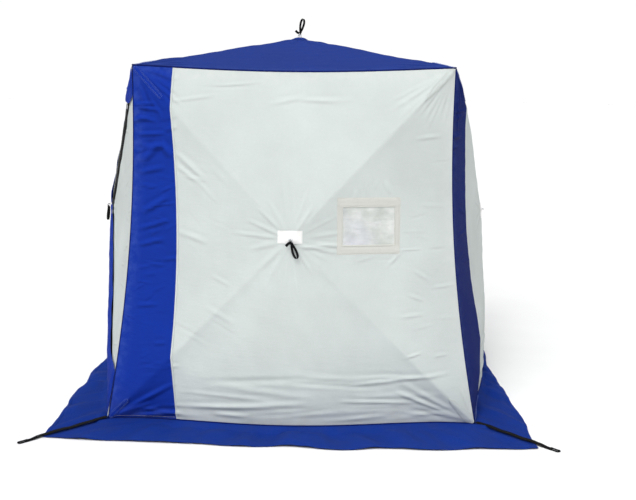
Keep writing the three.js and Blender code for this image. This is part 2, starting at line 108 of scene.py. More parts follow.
# ---- The cloth's edge curves, each for an array of fractions f ------------------------
def base_corner(i):
    return np.append(SIGNS[i % 4] * BASE_HALF, 0.0)


def top_corner(i):
    return np.append(SIGNS[i % 4] * TOP_HALF, CORNER_HEIGHT)


def upright(i, f):
    inward = np.append(-SIGNS[i % 4], 0.0)
    sag = UPRIGHT_SAGS[i % 4] * hump(f, UPRIGHT_POWER)
    return line(base_corner(i), top_corner(i), f) + np.outer(sag, inward)


def base_edge(i, f):
    bow = np.outer(BASE_BOW * hump(f, 2), OUTWARD[i % 4])
    return line(base_corner(i), base_corner(i + 1), f) + bow + np.outer(BASE_LIFT * hump(f, 1), Z)


def roof_edge(i, f):
    sag = TOP_SAG * hump(f, TOP_POWER)
    return line(top_corner(i), top_corner(i + 1), f) - np.outer(sag, OUTWARD[i % 4] + Z)


def seam_shift(v):
    """How far the coloured strip's seam bends towards the hub."""
    low = np.clip((-v - STRAIGHT) / (BASE_HALF - STRAIGHT), 0, 1)
    return SEAM_BULGE * np.maximum(1 - (v / STRAIGHT) ** 2, 0) + SEAM_FOOT * low


# ---- Wrinkles -------------------------------------------------------------------------
class Folds:
    """Straight folds in a face's plane, each a ridge between two troughs."""

    def __init__(self, seed):
        self.rng = np.random.default_rng(seed)
        self.rows = []

    def add(self, start, end, width, height):
        self.rows.append((*start, *end, width, height))

    def fan(self, centre, angles, count, reach, width, height, gap=0.03):
        """Folds that spread from a point, between two angles in degrees."""
        for k in range(count):
            share = (k + self.rng.uniform(0.25, 0.75)) / count
            turn = math.radians(angles[0] + (angles[1] - angles[0]) * share)
            way = np.array([math.cos(turn), math.sin(turn)])
            far = reach * self.rng.uniform(0.55, 1.0)
            near = gap * self.rng.uniform(0.6, 1.4)
            tall = height * self.rng.uniform(0.45, 1.0)
            self.add(centre + way * near, centre + way * far, width * self.rng.uniform(0.7, 1.3), tall)

    def scatter(self, box, count, turn, length, width, height, spread=8):
        """Short folds inside a box, all lying near one angle."""
        for _ in range(count):
            middle = np.array([self.rng.uniform(box[0], box[1]), self.rng.uniform(box[2], box[3])])
            angle = math.radians(turn + self.rng.normal(0, spread))
            half = np.array([math.cos(angle), math.sin(angle)]) * length * self.rng.uniform(0.3, 0.6)
            tall = height * self.rng.uniform(-0.5, 1.0)
            self.add(middle - half, middle + half, width * self.rng.uniform(0.6, 1.4), tall)

    def height(self, u, v):
        total = np.zeros_like(u)
        for au, av, bu, bv, width, height in self.rows:
            du, dv = bu - au, bv - av
            long = math.hypot(du, dv)
            along = ((u - au) * du + (v - av) * dv) / long**2
            aside = ((u - au) * dv - (v - av) * du) / long
            near = (np.abs(aside) < 3 * width) & (along > -0.1) & (along < 1.1)
            x = aside[near] / width
            share = np.clip(along[near], 0, 1)
            total[near] += height * (1 - x * x) * np.exp(-x * x / 1.4) * np.sin(np.pi * share) ** 0.8
        return total


def billow(u, v, seed, size, height):
    """A slow wandering wave, from five sines in seeded directions."""
    rng = np.random.default_rng(seed)
    total = np.zeros_like(u)
    for _ in range(5):
        turn, phase = rng.uniform(0, 2 * np.pi, 2)
        count = 2 * np.pi / (size * rng.uniform(0.7, 1.5))
        total += np.sin((u * np.cos(turn) + v * np.sin(turn)) * count + phase)
    return total * height / 2.5


# ---- The five faces -------------------------------------------------------------------
class Face:
    """A stretched pyramid of cloth. u runs right, v up and n outward, from the hub's foot."""

    def __init__(self, name, foot, u, v, pop, dome, edges, seed):
        self.name = name
        self.hub = f"{name}_hub"
        self.foot = np.asarray(foot, float)
        self.axes = np.array([u, v, np.cross(u, v)])
        self.pop = pop
        self.dome = dome
        self.seed = seed
        f = np.arange(400) / 400
        local = [(edge(f) - self.foot) @ self.axes.T for edge in edges]
        ends = [np.vstack([local[k], local[(k + 1) % 4][:1]]) for k in range(4)]
        rim = np.vstack(local)
        self.angle = np.arctan2(rim[:, 1], rim[:, 0])
        self.radius = np.hypot(rim[:, 0], rim[:, 1])
        self.height = rim[:, 2]
        self.bottom = ends[0][:, :2]
        self.right = ends[1][:, :2]
        self.top = ends[2][::-1, :2]
        self.left = ends[3][::-1, :2]
        self.corners = [part[0] for part in local]
        self.folds = Folds(seed)

    def world(self, u, v, n):
        return self.foot + np.stack([u, v, n], -1) @ self.axes

    def local(self, points):
        return (points - self.foot) @ self.axes.T

    def reach(self, u, v):
        """How far from the hub towards the rim, from 0 to 1."""
        turn = np.arctan2(v, u)
        return np.hypot(u, v) / np.interp(turn, self.angle, self.radius, period=2 * np.pi)

    def ruled(self, u, v):
        out = self.reach(u, v)
        edge = np.interp(np.arctan2(v, u), self.angle, self.height, period=2 * np.pi)
        return out * edge + (1 - out) * self.pop + self.dome * np.sin(np.pi * np.minimum(out, 1) ** 1.5)

    def surface(self, u, v):
        """The cloth's height: the ruled pyramid, softened along the rods, with its wrinkles."""
        soft = np.minimum(0.006, 0.25 * np.hypot(u, v))
        total = self.ruled(u, v) * 2
        for du, dv in ((1, 0), (-1, 0), (0, 1), (0, -1)):
            total = total + self.ruled(u + du * soft, v + dv * soft)
        return total / 6 + self.relief(u, v)

    def relief(self, u, v):
        """Slow waves and folds, calm at the rim, at the hub and round the window."""
        out = self.reach(u, v)
        calm = smooth((1 - out) / 0.05) * smooth(out / 0.06)
        if self.name == "front":
            du = np.maximum(np.abs(u - (PANE[0] + PANE[1]) / 2) - (PANE[1] - PANE[0]) / 2, 0)
            dv = np.maximum(np.abs(v - (PANE[2] + PANE[3]) / 2) - (PANE[3] - PANE[2]) / 2, 0)
            calm = calm * (0.25 + 0.75 * smooth(np.hypot(du, dv) / 0.06))
        wave = billow(u, v, self.seed, 0.34, 0.0022) + billow(u, v, self.seed + 50, 0.09, 0.0006)
        return calm * (wave + self.creases(u, v))

    def creases(self, u, v):
        """The folds' height, deeper on the coloured strip."""
        return self.folds.height(u, v) * (1.5 + 0.9 * smooth((-u - 0.50) / 0.08))

    def weight(self, u, v):
        """How much a point follows the hub: all of it at the hub, none of it at the rim."""
        t = 1 - self.reach(u, v)
        w = t + (1 - t) * smooth((t - 0.93) / 0.03)
        if self.name != "roof":
            half, low, high = LOOP_ROOM
            aside = smooth((np.abs(u) - half) / 0.05)
            past = smooth((-v - low) / 0.06) + smooth((v - high) / 0.02)
            w = w + (1 - w) * (1 - aside) * np.clip(1 - past, 0, 1)
        return np.clip(w, 0, 1)

    def fit(self, c, r):
        """Nominal columns and rows bent so that the outer ones follow the sagging edges."""
        u, v = c.copy(), r.copy()
        low, high = (side[:, 1].mean() for side in (self.bottom, self.top))
        wide = abs(self.bottom[0, 0])
        for _ in range(8):
            left = np.interp(v, self.left[:, 1], self.left[:, 0])
            right = np.interp(v, self.right[:, 1], self.right[:, 0])
            k = np.clip((np.abs(c) - STRAIGHT) / (wide - STRAIGHT), 0, 1)
            start = np.sign(c) * STRAIGHT
            u = np.where(k > 0, start + k * (np.where(c < 0, left, right) - start), c)
            bottom = np.interp(u, self.bottom[:, 0], self.bottom[:, 1])
            top = np.interp(u, self.top[:, 0], self.top[:, 1])
            limit = np.where(r < 0, self.corners[0][1], self.corners[2][1])
            k = np.clip((np.abs(r) - STRAIGHT) / (np.abs(limit) - STRAIGHT), 0, 1)
            start = np.sign(r) * STRAIGHT
            v = np.where(k > 0, start + k * (np.where(r < 0, bottom, top) - start), r)
        if self.name != "roof":
            near = np.interp(c, (-0.68, SEAM_U, SEAM_U + 0.12), (0, 1, 0))
            u = u + near * seam_shift(v)
        return u, v


def make_wall(i, name):
    out = OUTWARD[i]
    lean = math.atan((BASE_HALF - TOP_HALF) / CORNER_HEIGHT)
    v = Z * math.cos(lean) - out * math.sin(lean)
    edges = [
        lambda f: base_edge(i, f),
        lambda f: upright(i + 1, f),
        lambda f: roof_edge(i, 1 - f),
        lambda f: upright(i, 1 - f),
    ]
    foot = out * BASE_HALF + v * HUB_UP
    return Face(name, foot, np.cross(Z, out), v, WALL_POPS[i], WALL_DOMES[i], edges, 11 + i)


WALLS = [make_wall(i, name) for i, name in enumerate(("front", "right", "back", "left"))]
ROOF = Face(
    "roof",
    (0, 0, CORNER_HEIGHT),
    (1.0, 0.0, 0.0),
    (0.0, 1.0, 0.0),
    ROOF_POP,
    0.0,
    [lambda f, i=i: roof_edge(i, f) for i in range(4)],
    15,
)
FRONT, RIGHT, BACK, LEFT = WALLS


def wrinkle_wall(face):
    """Folds round the hub and out of the corners, then across the strip, foot, side and top."""
    folds = face.folds
    bl, br, tr, tl = (corner[:2] for corner in face.corners)
    folds.fan(np.zeros(2), (20, 380), 17, 0.34, 0.011, 0.0019, gap=0.05)
    folds.fan(tr, (205, 262), 9, 0.42, 0.011, 0.0017)
    folds.fan(tl, (-78, -12), 6, 0.36, 0.012, 0.0028)
    folds.fan(bl, (6, 34), 4, 0.44, 0.013, 0.0060)
    folds.fan(br, (146, 176), 5, 0.52, 0.012, 0.0050)
    folds.fan(br, (95, 118), 3, 0.34, 0.010, 0.0025)
    folds.scatter((-0.80, -0.60, 0.42, 0.66), 7, 2, 0.15, 0.011, 0.0045, 6)
    folds.scatter((-0.82, -0.60, -0.45, 0.35), 16, 0, 0.12, 0.009, 0.0020, 10)
    folds.scatter((0.55, 0.78, -0.60, 0.60), 22, 5, 0.13, 0.008, 0.0018, 16)
    folds.scatter((-0.45, 0.55, -0.86, -0.68), 18, 0, 0.50, 0.013, 0.0034, 4)
    folds.scatter((-0.75, 0.75, -0.90, -0.84), 10, 0, 0.30, 0.010, 0.0040, 3)
    folds.scatter((-0.70, 0.70, 0.60, 0.74), 9, 0, 0.25, 0.010, 0.0018, 5)


# The front wall's own folds: start, end, width and height.
FRONT_FOLDS = (
    ((-0.645, 0.45), (-0.745, 0.35), 0.020, 0.0042),
    ((-0.645, 0.45), (-0.585, 0.38), 0.020, 0.0042),
    ((-0.760, 0.30), (-0.620, 0.33), 0.014, 0.0028),
    ((-0.750, 0.10), (-0.600, 0.19), 0.016, 0.0036),
    ((-0.770, 0.02), (-0.600, 0.07), 0.013, 0.0028),
    ((-0.770, -0.06), (-0.620, -0.02), 0.013, 0.0028),
    ((-0.760, 0.62), (-0.640, 0.60), 0.010, 0.0026),
    ((-0.760, 0.57), (-0.660, 0.55), 0.010, 0.0026),
    ((-0.560, 0.40), (-0.410, 0.27), 0.015, 0.0026),
    ((-0.560, 0.34), (-0.440, 0.25), 0.012, 0.0020),
    ((-0.560, 0.02), (-0.400, -0.03), 0.014, 0.0020),
)
for wall in WALLS:
    wrinkle_wall(wall)
for fold in FRONT_FOLDS:
    FRONT.folds.add(*fold)
FRONT.folds.scatter((-0.78, -0.58, -0.70, 0.52), 46, 9, 0.10, 0.0085, 0.0017, 14)
FRONT.folds.scatter((-0.56, -0.30, -0.50, 0.50), 16, -25, 0.16, 0.011, 0.0014, 18)
FRONT.folds.fan(np.array([0.03, -0.03]), (-14, 4), 3, 0.24, 0.009, 0.0028)
FRONT.folds.scatter((0.27, 0.48, 0.20, 0.27), 6, 90, 0.07, 0.008, 0.0022, 12)
FRONT.folds.scatter((0.27, 0.50, -0.13, -0.09), 4, 20, 0.10, 0.008, 0.0020, 20)
ROOF.folds.fan(np.zeros(2), (10, 370), 14, 0.30, 0.014, 0.0030, gap=0.05)
for k, corner in enumerate(ROOF.corners):
    ROOF.folds.fan(corner[:2], (10 + 90 * k, 80 + 90 * k), 6, 0.40, 0.012, 0.0030)


# ---- Meshes ---------------------------------------------------------------------------
def make_object(name, points, faces, uv, material, smooth_shade=True):
    """points is (n, 3); faces is a list or array of vertex indices; uv is (n, 2) in metres."""
    mesh = bpy.data.meshes.new(name)
    mesh.from_pydata(np.asarray(points, float).tolist(), [], [list(map(int, f)) for f in faces])
    layer = mesh.uv_layers.new(name="UVMap")
    corner = np.empty(len(mesh.loops), int)
    mesh.loops.foreach_get("vertex_index", corner)
    layer.data.foreach_set("uv", np.asarray(uv, np.float32)[corner].ravel())
    mesh.materials.append(material)
    mesh.polygons.foreach_set("use_smooth", [smooth_shade] * len(mesh.polygons))
    mesh.update()
    obj = bpy.data.objects.new(name, mesh)
    bpy.context.scene.collection.objects.link(obj)
    return obj


def grid_faces(rows, cols, wrap=False):
    index = np.arange(rows * cols).reshape(rows, cols)
    if wrap:
        index = np.hstack([index, index[:, :1]])
    a, b = index[:-1, :-1], index[:-1, 1:]
    c, d = index[1:, 1:], index[1:, :-1]
    return np.stack([a, b, c, d], -1).reshape(-1, 4)


def closing_faces(rows, cols):
    """Faces between a grid's last row and its first."""
    last, first = (rows - 1) * cols + np.arange(cols), np.arange(cols)
    return np.stack([last[:-1], last[1:], first[1:], first[:-1]], -1)


def used_only(points, faces, *tables):
    """Drops the points that no face uses."""
    used = np.unique(faces)
    place = np.full(len(points), -1)
    place[used] = np.arange(len(used))
    return points[used], place[faces], *(t[used] for t in tables)


def steps(stops, size=GRID):
    """Even steps of about a given size between each pair of stops."""
    parts = []
    for a, b in zip(stops[:-1], stops[1:]):
        parts.append(np.linspace(a, b, max(2, int(math.ceil((b - a) / size)) + 1))[:-1])
    return np.append(np.concatenate(parts), stops[-1])


def points_of(obj):
    """The mesh's points as (n, 3)."""
    co = np.empty(len(obj.data.vertices) * 3)
    obj.data.vertices.foreach_get("co", co)
    return co.reshape(-1, 3)


def follow(obj, face):
    """Bakes the piece's transform and works out how much each point would follow the hub, from the fixed rim
    to the hub that pops in and out; the weights are not used.
    """
    tuple(face.world(0.0, -0.9, 0.0))
    tuple(face.world(0.0, 0.0, 0.0))
    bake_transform(obj)
    u, v, _ = face.local(points_of(obj)).T
    weights = face.weight(u, v).astype(np.float32)
    return obj


def ride(obj, body):
    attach(obj, body)
    return obj


def paint(obj, name, values):
    layer = obj.data.attributes.new(name, "FLOAT", "POINT")
    layer.data.foreach_set("value", np.asarray(values, np.float32))


def cloth_panel(name, face, cols, rows, material, keep=None, snap=None):
    """A cloth panel of one face. keep picks cells by their middle, snap moves the cut edge."""
    c, r = np.meshgrid(cols, rows)
    u, v = (x.ravel() for x in face.fit(c, r))
    faces = grid_faces(len(rows), len(cols))
    middle_u, middle_v = u[faces].mean(1), v[faces].mean(1)
    chosen = np.hypot(middle_u, middle_v) > HUB_HOLE
    if keep is not None:
        inside = keep(middle_u, middle_v)
        if snap is not None:
            edge = np.intersect1d(np.unique(faces[inside]), np.unique(faces[~inside]))
            u[edge], v[edge] = snap(u[edge], v[edge])
        chosen &= inside
    points = face.world(u, v, face.surface(u, v))
    points, faces, u, v = used_only(points, faces[chosen], u, v)
    obj = make_object(name, points, faces, np.stack([u, v], -1), material)
    out = face.reach(u, v)
    paint(obj, "wear", smooth((out - 0.90) / 0.10) * 0.7 + smooth((0.05 - out) / 0.05))
    # Painted shade and highlight: each fold's underside and trough get a darker value, its upper side and
    # ridge a lighter one, as if lit from above.
    step = 0.004
    slope = (face.creases(u, v + step) - face.creases(u, v - step)) / (2 * step)
    paint(obj, "painted_fold_shading", np.clip(slope * 1.6 - face.creases(u, v) / 0.020, -1, 1))
    return obj


def band(name, face, path, width, material, lift, rise, count=7):
    """A flat tape laid on a face along a path of (u, v) points."""
    path = np.asarray(path, float)
    along = unit(np.vstack([path[1:], path[-1:]]) - np.vstack([path[:1], path[:-1]]))
    aside = np.stack([-along[:, 1], along[:, 0]], -1)
    width = np.broadcast_to(width, len(path))
    across = np.linspace(-1, 1, count)
    spots = path[:, None] + aside[:, None] * (across[None, :, None] * width[:, None, None] / 2)
    u, v = spots[..., 0].ravel(), spots[..., 1].ravel()
    profile = np.where(np.abs(across) > 0.99, -0.0006, rise * (1 - 0.3 * np.abs(across) ** 3))
    n = face.surface(u, v) + lift + np.tile(profile, len(path))
    length = run_along(path)
    uv = np.stack(np.broadcast_arrays(across[None] * width[:, None] / 2, length[:, None]), -1)
    faces = grid_faces(len(path), count)
    return make_object(name, face.world(u, v, n), faces[:, ::-1], uv.reshape(-1, 2), material)


def sweep(name, path, across, section, material, closed=False):
    """A solid drawn along a 3-D path. section holds (across, up) pairs round its outline."""
    path = np.asarray(path, float)
    section = np.asarray(section, float)
    if closed:
        along = unit(np.roll(path, -1, 0) - np.roll(path, 1, 0))
    else:
        along = unit(np.gradient(path, axis=0))
    across = np.broadcast_to(np.asarray(across, float), path.shape)
    up = unit(np.cross(across, along))
    side = np.cross(along, up)
    if section.ndim == 2:
        section = np.broadcast_to(section, (len(path), *section.shape))
    points = path[:, None] + side[:, None] * section[..., :1] + up[:, None] * section[..., 1:]
    size = section.shape[1]
    faces = [tuple(f) for f in grid_faces(len(path), size, wrap=True)]
    if closed:
        base = (len(path) - 1) * size
        ring = [(k, (k + 1) % size) for k in range(size)]
        faces += [(base + a, base + b, b, a) for a, b in ring]
    else:
        faces += [tuple(range(size))[::-1], tuple((len(path) - 1) * size + k for k in range(size))]
    length = run_along(path)
    round_about = np.linspace(0, np.linalg.norm(np.ptp(section[0], axis=0)) * 2, size)
    uv = np.stack(np.broadcast_arrays(round_about[None], length[:, None]), -1).reshape(-1, 2)
    return make_object(name, points.reshape(-1, 3), faces, uv, material)


def tape_section(width, thick, count=5):
    """A flat oblong with rounded ends."""
    turn = np.linspace(-np.pi / 2, np.pi / 2, count)
    x = width / 2 - thick / 2 + np.cos(turn) * thick / 2
    y = np.sin(turn) * thick / 2
    return np.vstack([np.stack([x, y], -1), np.stack([-x[::-1], y[::-1]], -1)])


def round_section(radius, count=10):
    turn = np.arange(count) * 2 * np.pi / count
    return np.stack([np.cos(turn), np.sin(turn)], -1) * radius


def join(name, objects):
    """Joins meshes made with the same material into the first."""
    first = objects[0]
    with bpy.context.temp_override(active_object=first, selected_editable_objects=objects):
        bpy.ops.object.join()
    first.name = name
    return first


def stitch_mesh(name, centres, along, up, material, length=0.0042, thick=0.0009):
    """Short thread stitches: each a low hump with pointed ends."""
    side = np.cross(along, up)
    shape = []
    for x, w, h in ((-1.0, 0.35, 0.1), (-0.5, 1.0, 1.0), (0.5, 1.0, 1.0), (1.0, 0.35, 0.1)):
        for s, t in ((-1, 0), (-0.7, 1), (0.7, 1), (1, 0)):
            shape.append((x * length / 2, s * w * thick / 2, t * h * thick * 0.7))
    shape = np.array(shape)
    points = (
        centres[:, None]
        + along[:, None] * shape[None, :, :1]
        + side[:, None] * shape[None, :, 1:2]
        + up[:, None] * shape[None, :, 2:]
    )
    one = grid_faces(4, 4)
    faces = (one[None] + (np.arange(len(centres)) * len(shape))[:, None, None]).reshape(-1, 4)
    uv = np.tile(shape[:, :2], (len(centres), 1))
    return make_object(name, points.reshape(-1, 3), faces, uv, material)


def resample(path, gap):
    """Points at even distances along a path."""
    path = np.asarray(path, float)
    length = run_along(path)
    marks = np.arange(gap / 2, length[-1], gap)
    return np.stack([np.interp(marks, length, path[:, k]) for k in range(path.shape[1])], -1)


def stitches(name, face, paths, material, lift, gap=0.0065):
    """Rows of stitches on a face along (u, v) paths."""
    centres, ways = [], []
    for path in paths:
        centres.append(resample(path, gap))
        ways.append(unit(np.gradient(centres[-1], axis=0)))
    spots, way = np.vstack(centres), np.vstack(ways)
    ahead, behind = spots + way * 0.002, spots - way * 0.002
    top = face.world(*ahead.T, face.surface(*ahead.T))
    low = face.world(*behind.T, face.surface(*behind.T))
    along = unit(top - low)
    up = unit(np.cross(np.cross(along, face.axes[2]), along))
    centre = (top + low) / 2 + face.axes[2] * lift
    return stitch_mesh(name, centre, along, up, material)


# ---- Materials ------------------------------------------------------------------------
class Maker:
    """Builds one node material round a Principled shader."""

    def __init__(self, name, **settings):
        self.material = bpy.data.materials.new(name)
        self.material.use_nodes = True
        self.tree = self.material.node_tree
        self.shader = self.tree.nodes["Principled BSDF"]
        for key, value in settings.items():
            self.shader.inputs[key.replace("_", " ")].default_value = value

    def node(self, kind, inputs=None, **settings):
        made = self.tree.nodes.new(kind)
        for key, value in settings.items():
            setattr(made, key, value)
        for key, value in (inputs or {}).items():
            self.put(made.inputs[key], value)
        return made

    def put(self, socket, value):
        if isinstance(value, bpy.types.NodeSocket):
            self.tree.links.new(value, socket)
        else:
            socket.default_value = value

    def coords(self, kind="UV", scale=(1, 1, 1), turn=0.0):
        source = self.node("ShaderNodeTexCoord").outputs[kind]
        inputs = {"Vector": source, "Scale": scale, "Rotation": (0, 0, turn)}
        return self.node("ShaderNodeMapping", inputs).outputs[0]

    def noise(self, vector, scale, detail=3.0, rough=0.55):
        inputs = {"Vector": vector, "Scale": scale, "Detail": detail, "Roughness": rough}
        return self.node("ShaderNodeTexNoise", inputs).outputs[0]

    def wave(self, vector, pitch, direction, distort=0.0):
        inputs = {"Vector": vector, "Scale": 2 * math.pi / (20 * pitch), "Distortion": distort}
        return self.node("ShaderNodeTexWave", inputs, bands_direction=direction).outputs[1]

    def math(self, kind, a, b=0.0, clamp=False):
        made = self.node("ShaderNodeMath", operation=kind, use_clamp=clamp)
        self.put(made.inputs[0], a)
        self.put(made.inputs[1], b)
        return made.outputs[0]

    def spread(self, value, low, high, out_low=0.0, out_high=1.0):
        inputs = {0: value, 1: low, 2: high, 3: out_low, 4: out_high}
        return self.node("ShaderNodeMapRange", inputs).outputs[0]

    def mix(self, share, a, b):
        made = self.node("ShaderNodeMix", data_type="RGBA")
        for key, value in ((0, share), (6, a), (7, b)):
            self.put(made.inputs[key], value)
        return made.outputs[2]

    def bump(self, height, distance, strength=1.0):
        inputs = {"Height": height, "Distance": distance, "Strength": strength}
        self.put(self.shader.inputs["Normal"], self.node("ShaderNodeBump", inputs).outputs[0])

    def color(self, value):
        self.put(self.shader.inputs["Base Color"], value)

    def rough(self, value):
        self.put(self.shader.inputs["Roughness"], value)


def srgb(r, g, b):
    def lift(x):
        x /= 255
        return x / 12.92 if x <= 0.04045 else ((x + 0.055) / 1.055) ** 2.4

    return (lift(r), lift(g), lift(b), 1.0)


def shade(color, factor):
    return tuple(min(1.0, x * factor) for x in color[:3]) + (1.0,)


def cloth_material(name, color, faded, dirt, pitch=0.0016, relief=0.00022, gloss=0.70):
    """Coated woven cloth: thread relief, slow tone changes, faded edges, faint dirt, and painted shade and
    highlight on its folds.
    """
    m = Maker(name, Specular_IOR_Level=0.10)
    uv = m.coords()
    warp = m.wave(uv, pitch, "X", 0.4)
    weft = m.wave(uv, pitch, "Y", 0.4)
    weave = m.math("MULTIPLY", warp, weft)
    slow = m.noise(uv, 2.6, 4.0)
    fine = m.noise(uv, 90.0, 2.0)
    crush = m.noise(m.coords(scale=(1, 3.2, 1), turn=0.35), 14.0, 5.0, 0.6)
    wear = m.node("ShaderNodeAttribute", attribute_name="wear").outputs["Fac"]
    tone = m.mix(m.spread(slow, 0.3, 0.7), shade(color, 0.93), shade(color, 1.05))
    tone = m.mix(m.spread(fine, 0.35, 0.75, 0.0, 0.10), tone, shade(color, 0.72))
    worn = m.math("MULTIPLY", wear, m.spread(m.noise(uv, 26.0, 4.0), 0.35, 0.7), True)
    tone = m.mix(m.math("MULTIPLY", worn, 0.45), tone, faded)
    # Painted shade and highlight on the folds: up to 55 % of the way to a tone at 35 % brightness on their
    # undersides and in troughs, up to 35 % of the way to one at 135 % on their upper sides and ridges.
    painted_fold_shading = m.node("ShaderNodeAttribute", attribute_name="painted_fold_shading").outputs["Fac"]
    tone = m.mix(m.math("MULTIPLY", painted_fold_shading, 0.55, True), tone, shade(color, 0.35))
    tone = m.mix(m.math("MULTIPLY", painted_fold_shading, -0.35, True), tone, shade(color, 1.35))
    spot = m.node("ShaderNodeTexCoord").outputs["Object"]
    low = m.spread(m.node("ShaderNodeSeparateXYZ", {0: spot}).outputs[2], 0.22, 0.0)
    foot = m.math("MULTIPLY", low, m.spread(m.noise(uv, 9.0, 5.0), 0.42, 0.72), True)
    tone = m.mix(m.math("MULTIPLY", foot, 0.30), tone, dirt)
    tone = m.mix(m.math("MULTIPLY", weave, 0.10), tone, shade(color, 0.6))
    m.color(tone)
    m.rough(m.spread(slow, 0.2, 0.8, gloss, gloss + 0.16))
    relief_sum = m.math("ADD", m.math("MULTIPLY", weave, 0.35), m.math("MULTIPLY", crush, 2.2))
    m.bump(relief_sum, relief * 4, 0.8)
    return m.material


def webbing_material(name, color, pitch=0.0022):
    m = Maker(name, Specular_IOR_Level=0.12)
    uv = m.coords()
    rib = m.wave(uv, pitch, "Y", 0.3)
    cross = m.wave(uv, pitch * 0.8, "X", 0.3)
    weave = m.math("MAXIMUM", rib, m.math("MULTIPLY", cross, 0.7))
    fuzz = m.noise(uv, 260.0, 3.0)
    tone = m.mix(m.math("MULTIPLY", weave, 0.6), shade(color, 0.55), shade(color, 1.5))
    m.color(m.mix(m.spread(fuzz, 0.4, 0.8, 0.0, 0.25), tone, shade(color, 1.8)))
    m.rough(m.spread(fuzz, 0.2, 0.8, 0.72, 0.9))
    m.bump(m.math("ADD", weave, m.math("MULTIPLY", fuzz, 0.4)), 0.0005)
    return m.material


def metal_material(name):
    m = Maker(name, Metallic=1.0)
    spot = m.coords("Object")
    brushed = m.noise(m.coords("Object", scale=(60, 60, 900)), 1.0, 3.0)
    blotch = m.noise(spot, 45.0, 5.0)
    tone = m.mix(m.spread(blotch, 0.4, 0.75, 0.0, 0.5), (0.55, 0.56, 0.58, 1), (0.33, 0.33, 0.34, 1))
    m.color(m.mix(m.spread(brushed, 0.3, 0.8, 0.0, 0.3), tone, (0.74, 0.75, 0.77, 1)))
    m.rough(m.spread(blotch, 0.3, 0.7, 0.28, 0.46))
    m.bump(brushed, 0.00015, 0.5)
    return m.material


def plastic_material(name, color, gloss=0.42, grain=700.0):
    m = Maker(name, Specular_IOR_Level=0.45)
    spot = m.coords("Object")
    pebble = m.noise(spot, grain, 2.0)
    rub = m.noise(spot, 30.0, 4.0)
    m.color(m.mix(m.spread(rub, 0.5, 0.8, 0.0, 0.35), color, shade(color, 2.2)))
    m.rough(m.spread(rub, 0.3, 0.7, gloss, gloss + 0.18))
    m.bump(pebble, 0.00025, 0.6)
    return m.material


def rod_material(name):
    m = Maker(name, Coat_Weight=0.35, Coat_Roughness=0.2)
    strands = m.noise(m.coords("Object", scale=(300, 300, 40)), 1.0, 3.0)
    spots = m.noise(m.coords("Object"), 22.0, 4.0)
    tone = m.mix(m.spread(strands, 0.3, 0.7), (0.012, 0.013, 0.014, 1), (0.035, 0.036, 0.038, 1))
    m.color(m.mix(m.spread(spots, 0.55, 0.8, 0.0, 0.3), tone, (0.09, 0.09, 0.09, 1)))
    m.rough(m.spread(spots, 0.3, 0.7, 0.35, 0.5))
    m.bump(strands, 0.0002, 0.5)
    return m.material


def pane_material(name):
    m = Maker(name, Specular_IOR_Level=0.6, Coat_Weight=0.6, Coat_Roughness=0.08)
    uv = m.coords()
    haze = m.noise(uv, 11.0, 4.0)
    edge = m.noise(uv, 5.0, 2.0)
    # The pale tone is partly the film's own haze and partly painted light, standing in for the bright inside
    # of the shelter seen through the pane.
    tone = m.mix(m.spread(haze, 0.35, 0.7), (0.66, 0.70, 0.66, 1), (0.80, 0.82, 0.80, 1))
    m.color(m.mix(m.spread(edge, 0.45, 0.75, 0.0, 0.45), tone, (0.62, 0.61, 0.80, 1)))
    m.rough(m.spread(haze, 0.3, 0.7, 0.10, 0.24))
    m.put(m.shader.inputs["Alpha"], m.spread(haze, 0.3, 0.7, 0.72, 0.88))
    m.bump(m.noise(m.coords(scale=(1, 2.5, 1)), 13.0, 3.0), 0.012, 0.7)
    return m.material


BLUE_CLOTH = cloth_material("blue_cloth", srgb(14, 48, 148), srgb(78, 104, 186), srgb(70, 78, 110))
ROOF_CLOTH = cloth_material("roof_cloth", srgb(32, 56, 134), srgb(70, 92, 162), srgb(60, 68, 100))
NAVY_CLOTH = cloth_material("navy_cloth", srgb(12, 30, 98), srgb(64, 78, 140), srgb(58, 64, 90))
IVORY_CLOTH = cloth_material("ivory_cloth", srgb(199, 206, 204), srgb(216, 217, 211), srgb(168, 166, 152))
BINDING_CLOTH = cloth_material(
    "binding_cloth", srgb(209, 210, 204), srgb(218, 219, 214), srgb(176, 172, 158), pitch=0.0012
)
SKIRT_CLOTH = cloth_material("skirt_cloth", srgb(16, 49, 133), srgb(58, 82, 152), srgb(44, 54, 92))
PATCH_CLOTH = cloth_material("patch_cloth", srgb(244, 244, 243), srgb(248, 248, 247), srgb(200, 198, 190))
PIPING_CLOTH = cloth_material("piping_cloth", srgb(10, 26, 92), srgb(40, 56, 120), srgb(40, 46, 70), 0.0012)
BLACK_WEB = webbing_material("black_webbing", (0.007, 0.007, 0.008, 1))
BLACK_TAPE = webbing_material("zip_tape", (0.008, 0.008, 0.009, 1), 0.0010)
BLUE_THREAD = webbing_material("blue_thread", srgb(52, 84, 176), 0.0008)
IVORY_THREAD = webbing_material("ivory_thread", srgb(214, 214, 204), 0.0008)
PALE_THREAD = webbing_material("pale_thread", srgb(120, 140, 205), 0.0008)
DARK_THREAD = webbing_material("dark_thread", srgb(38, 38, 42), 0.0008)
METAL = metal_material("zinc")
BLACK_PLASTIC = plastic_material("moulded_plastic", (0.018, 0.018, 0.020, 1))
COIL_PLASTIC = plastic_material("coil_plastic", (0.012, 0.012, 0.013, 1), 0.30)
ROD = rod_material("glass_fibre")
PANE_FILM = pane_material("clear_film")

for name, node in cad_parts.items():
    look = None
    if name.endswith("_hub") or name.startswith("door_slider"):
        look = METAL
    elif "_rod_" in name:
        look = ROD
    elif name.startswith("corner_"):
        look = BLACK_PLASTIC
    if look:
        for slot in node.material_slots:
            slot.material = look


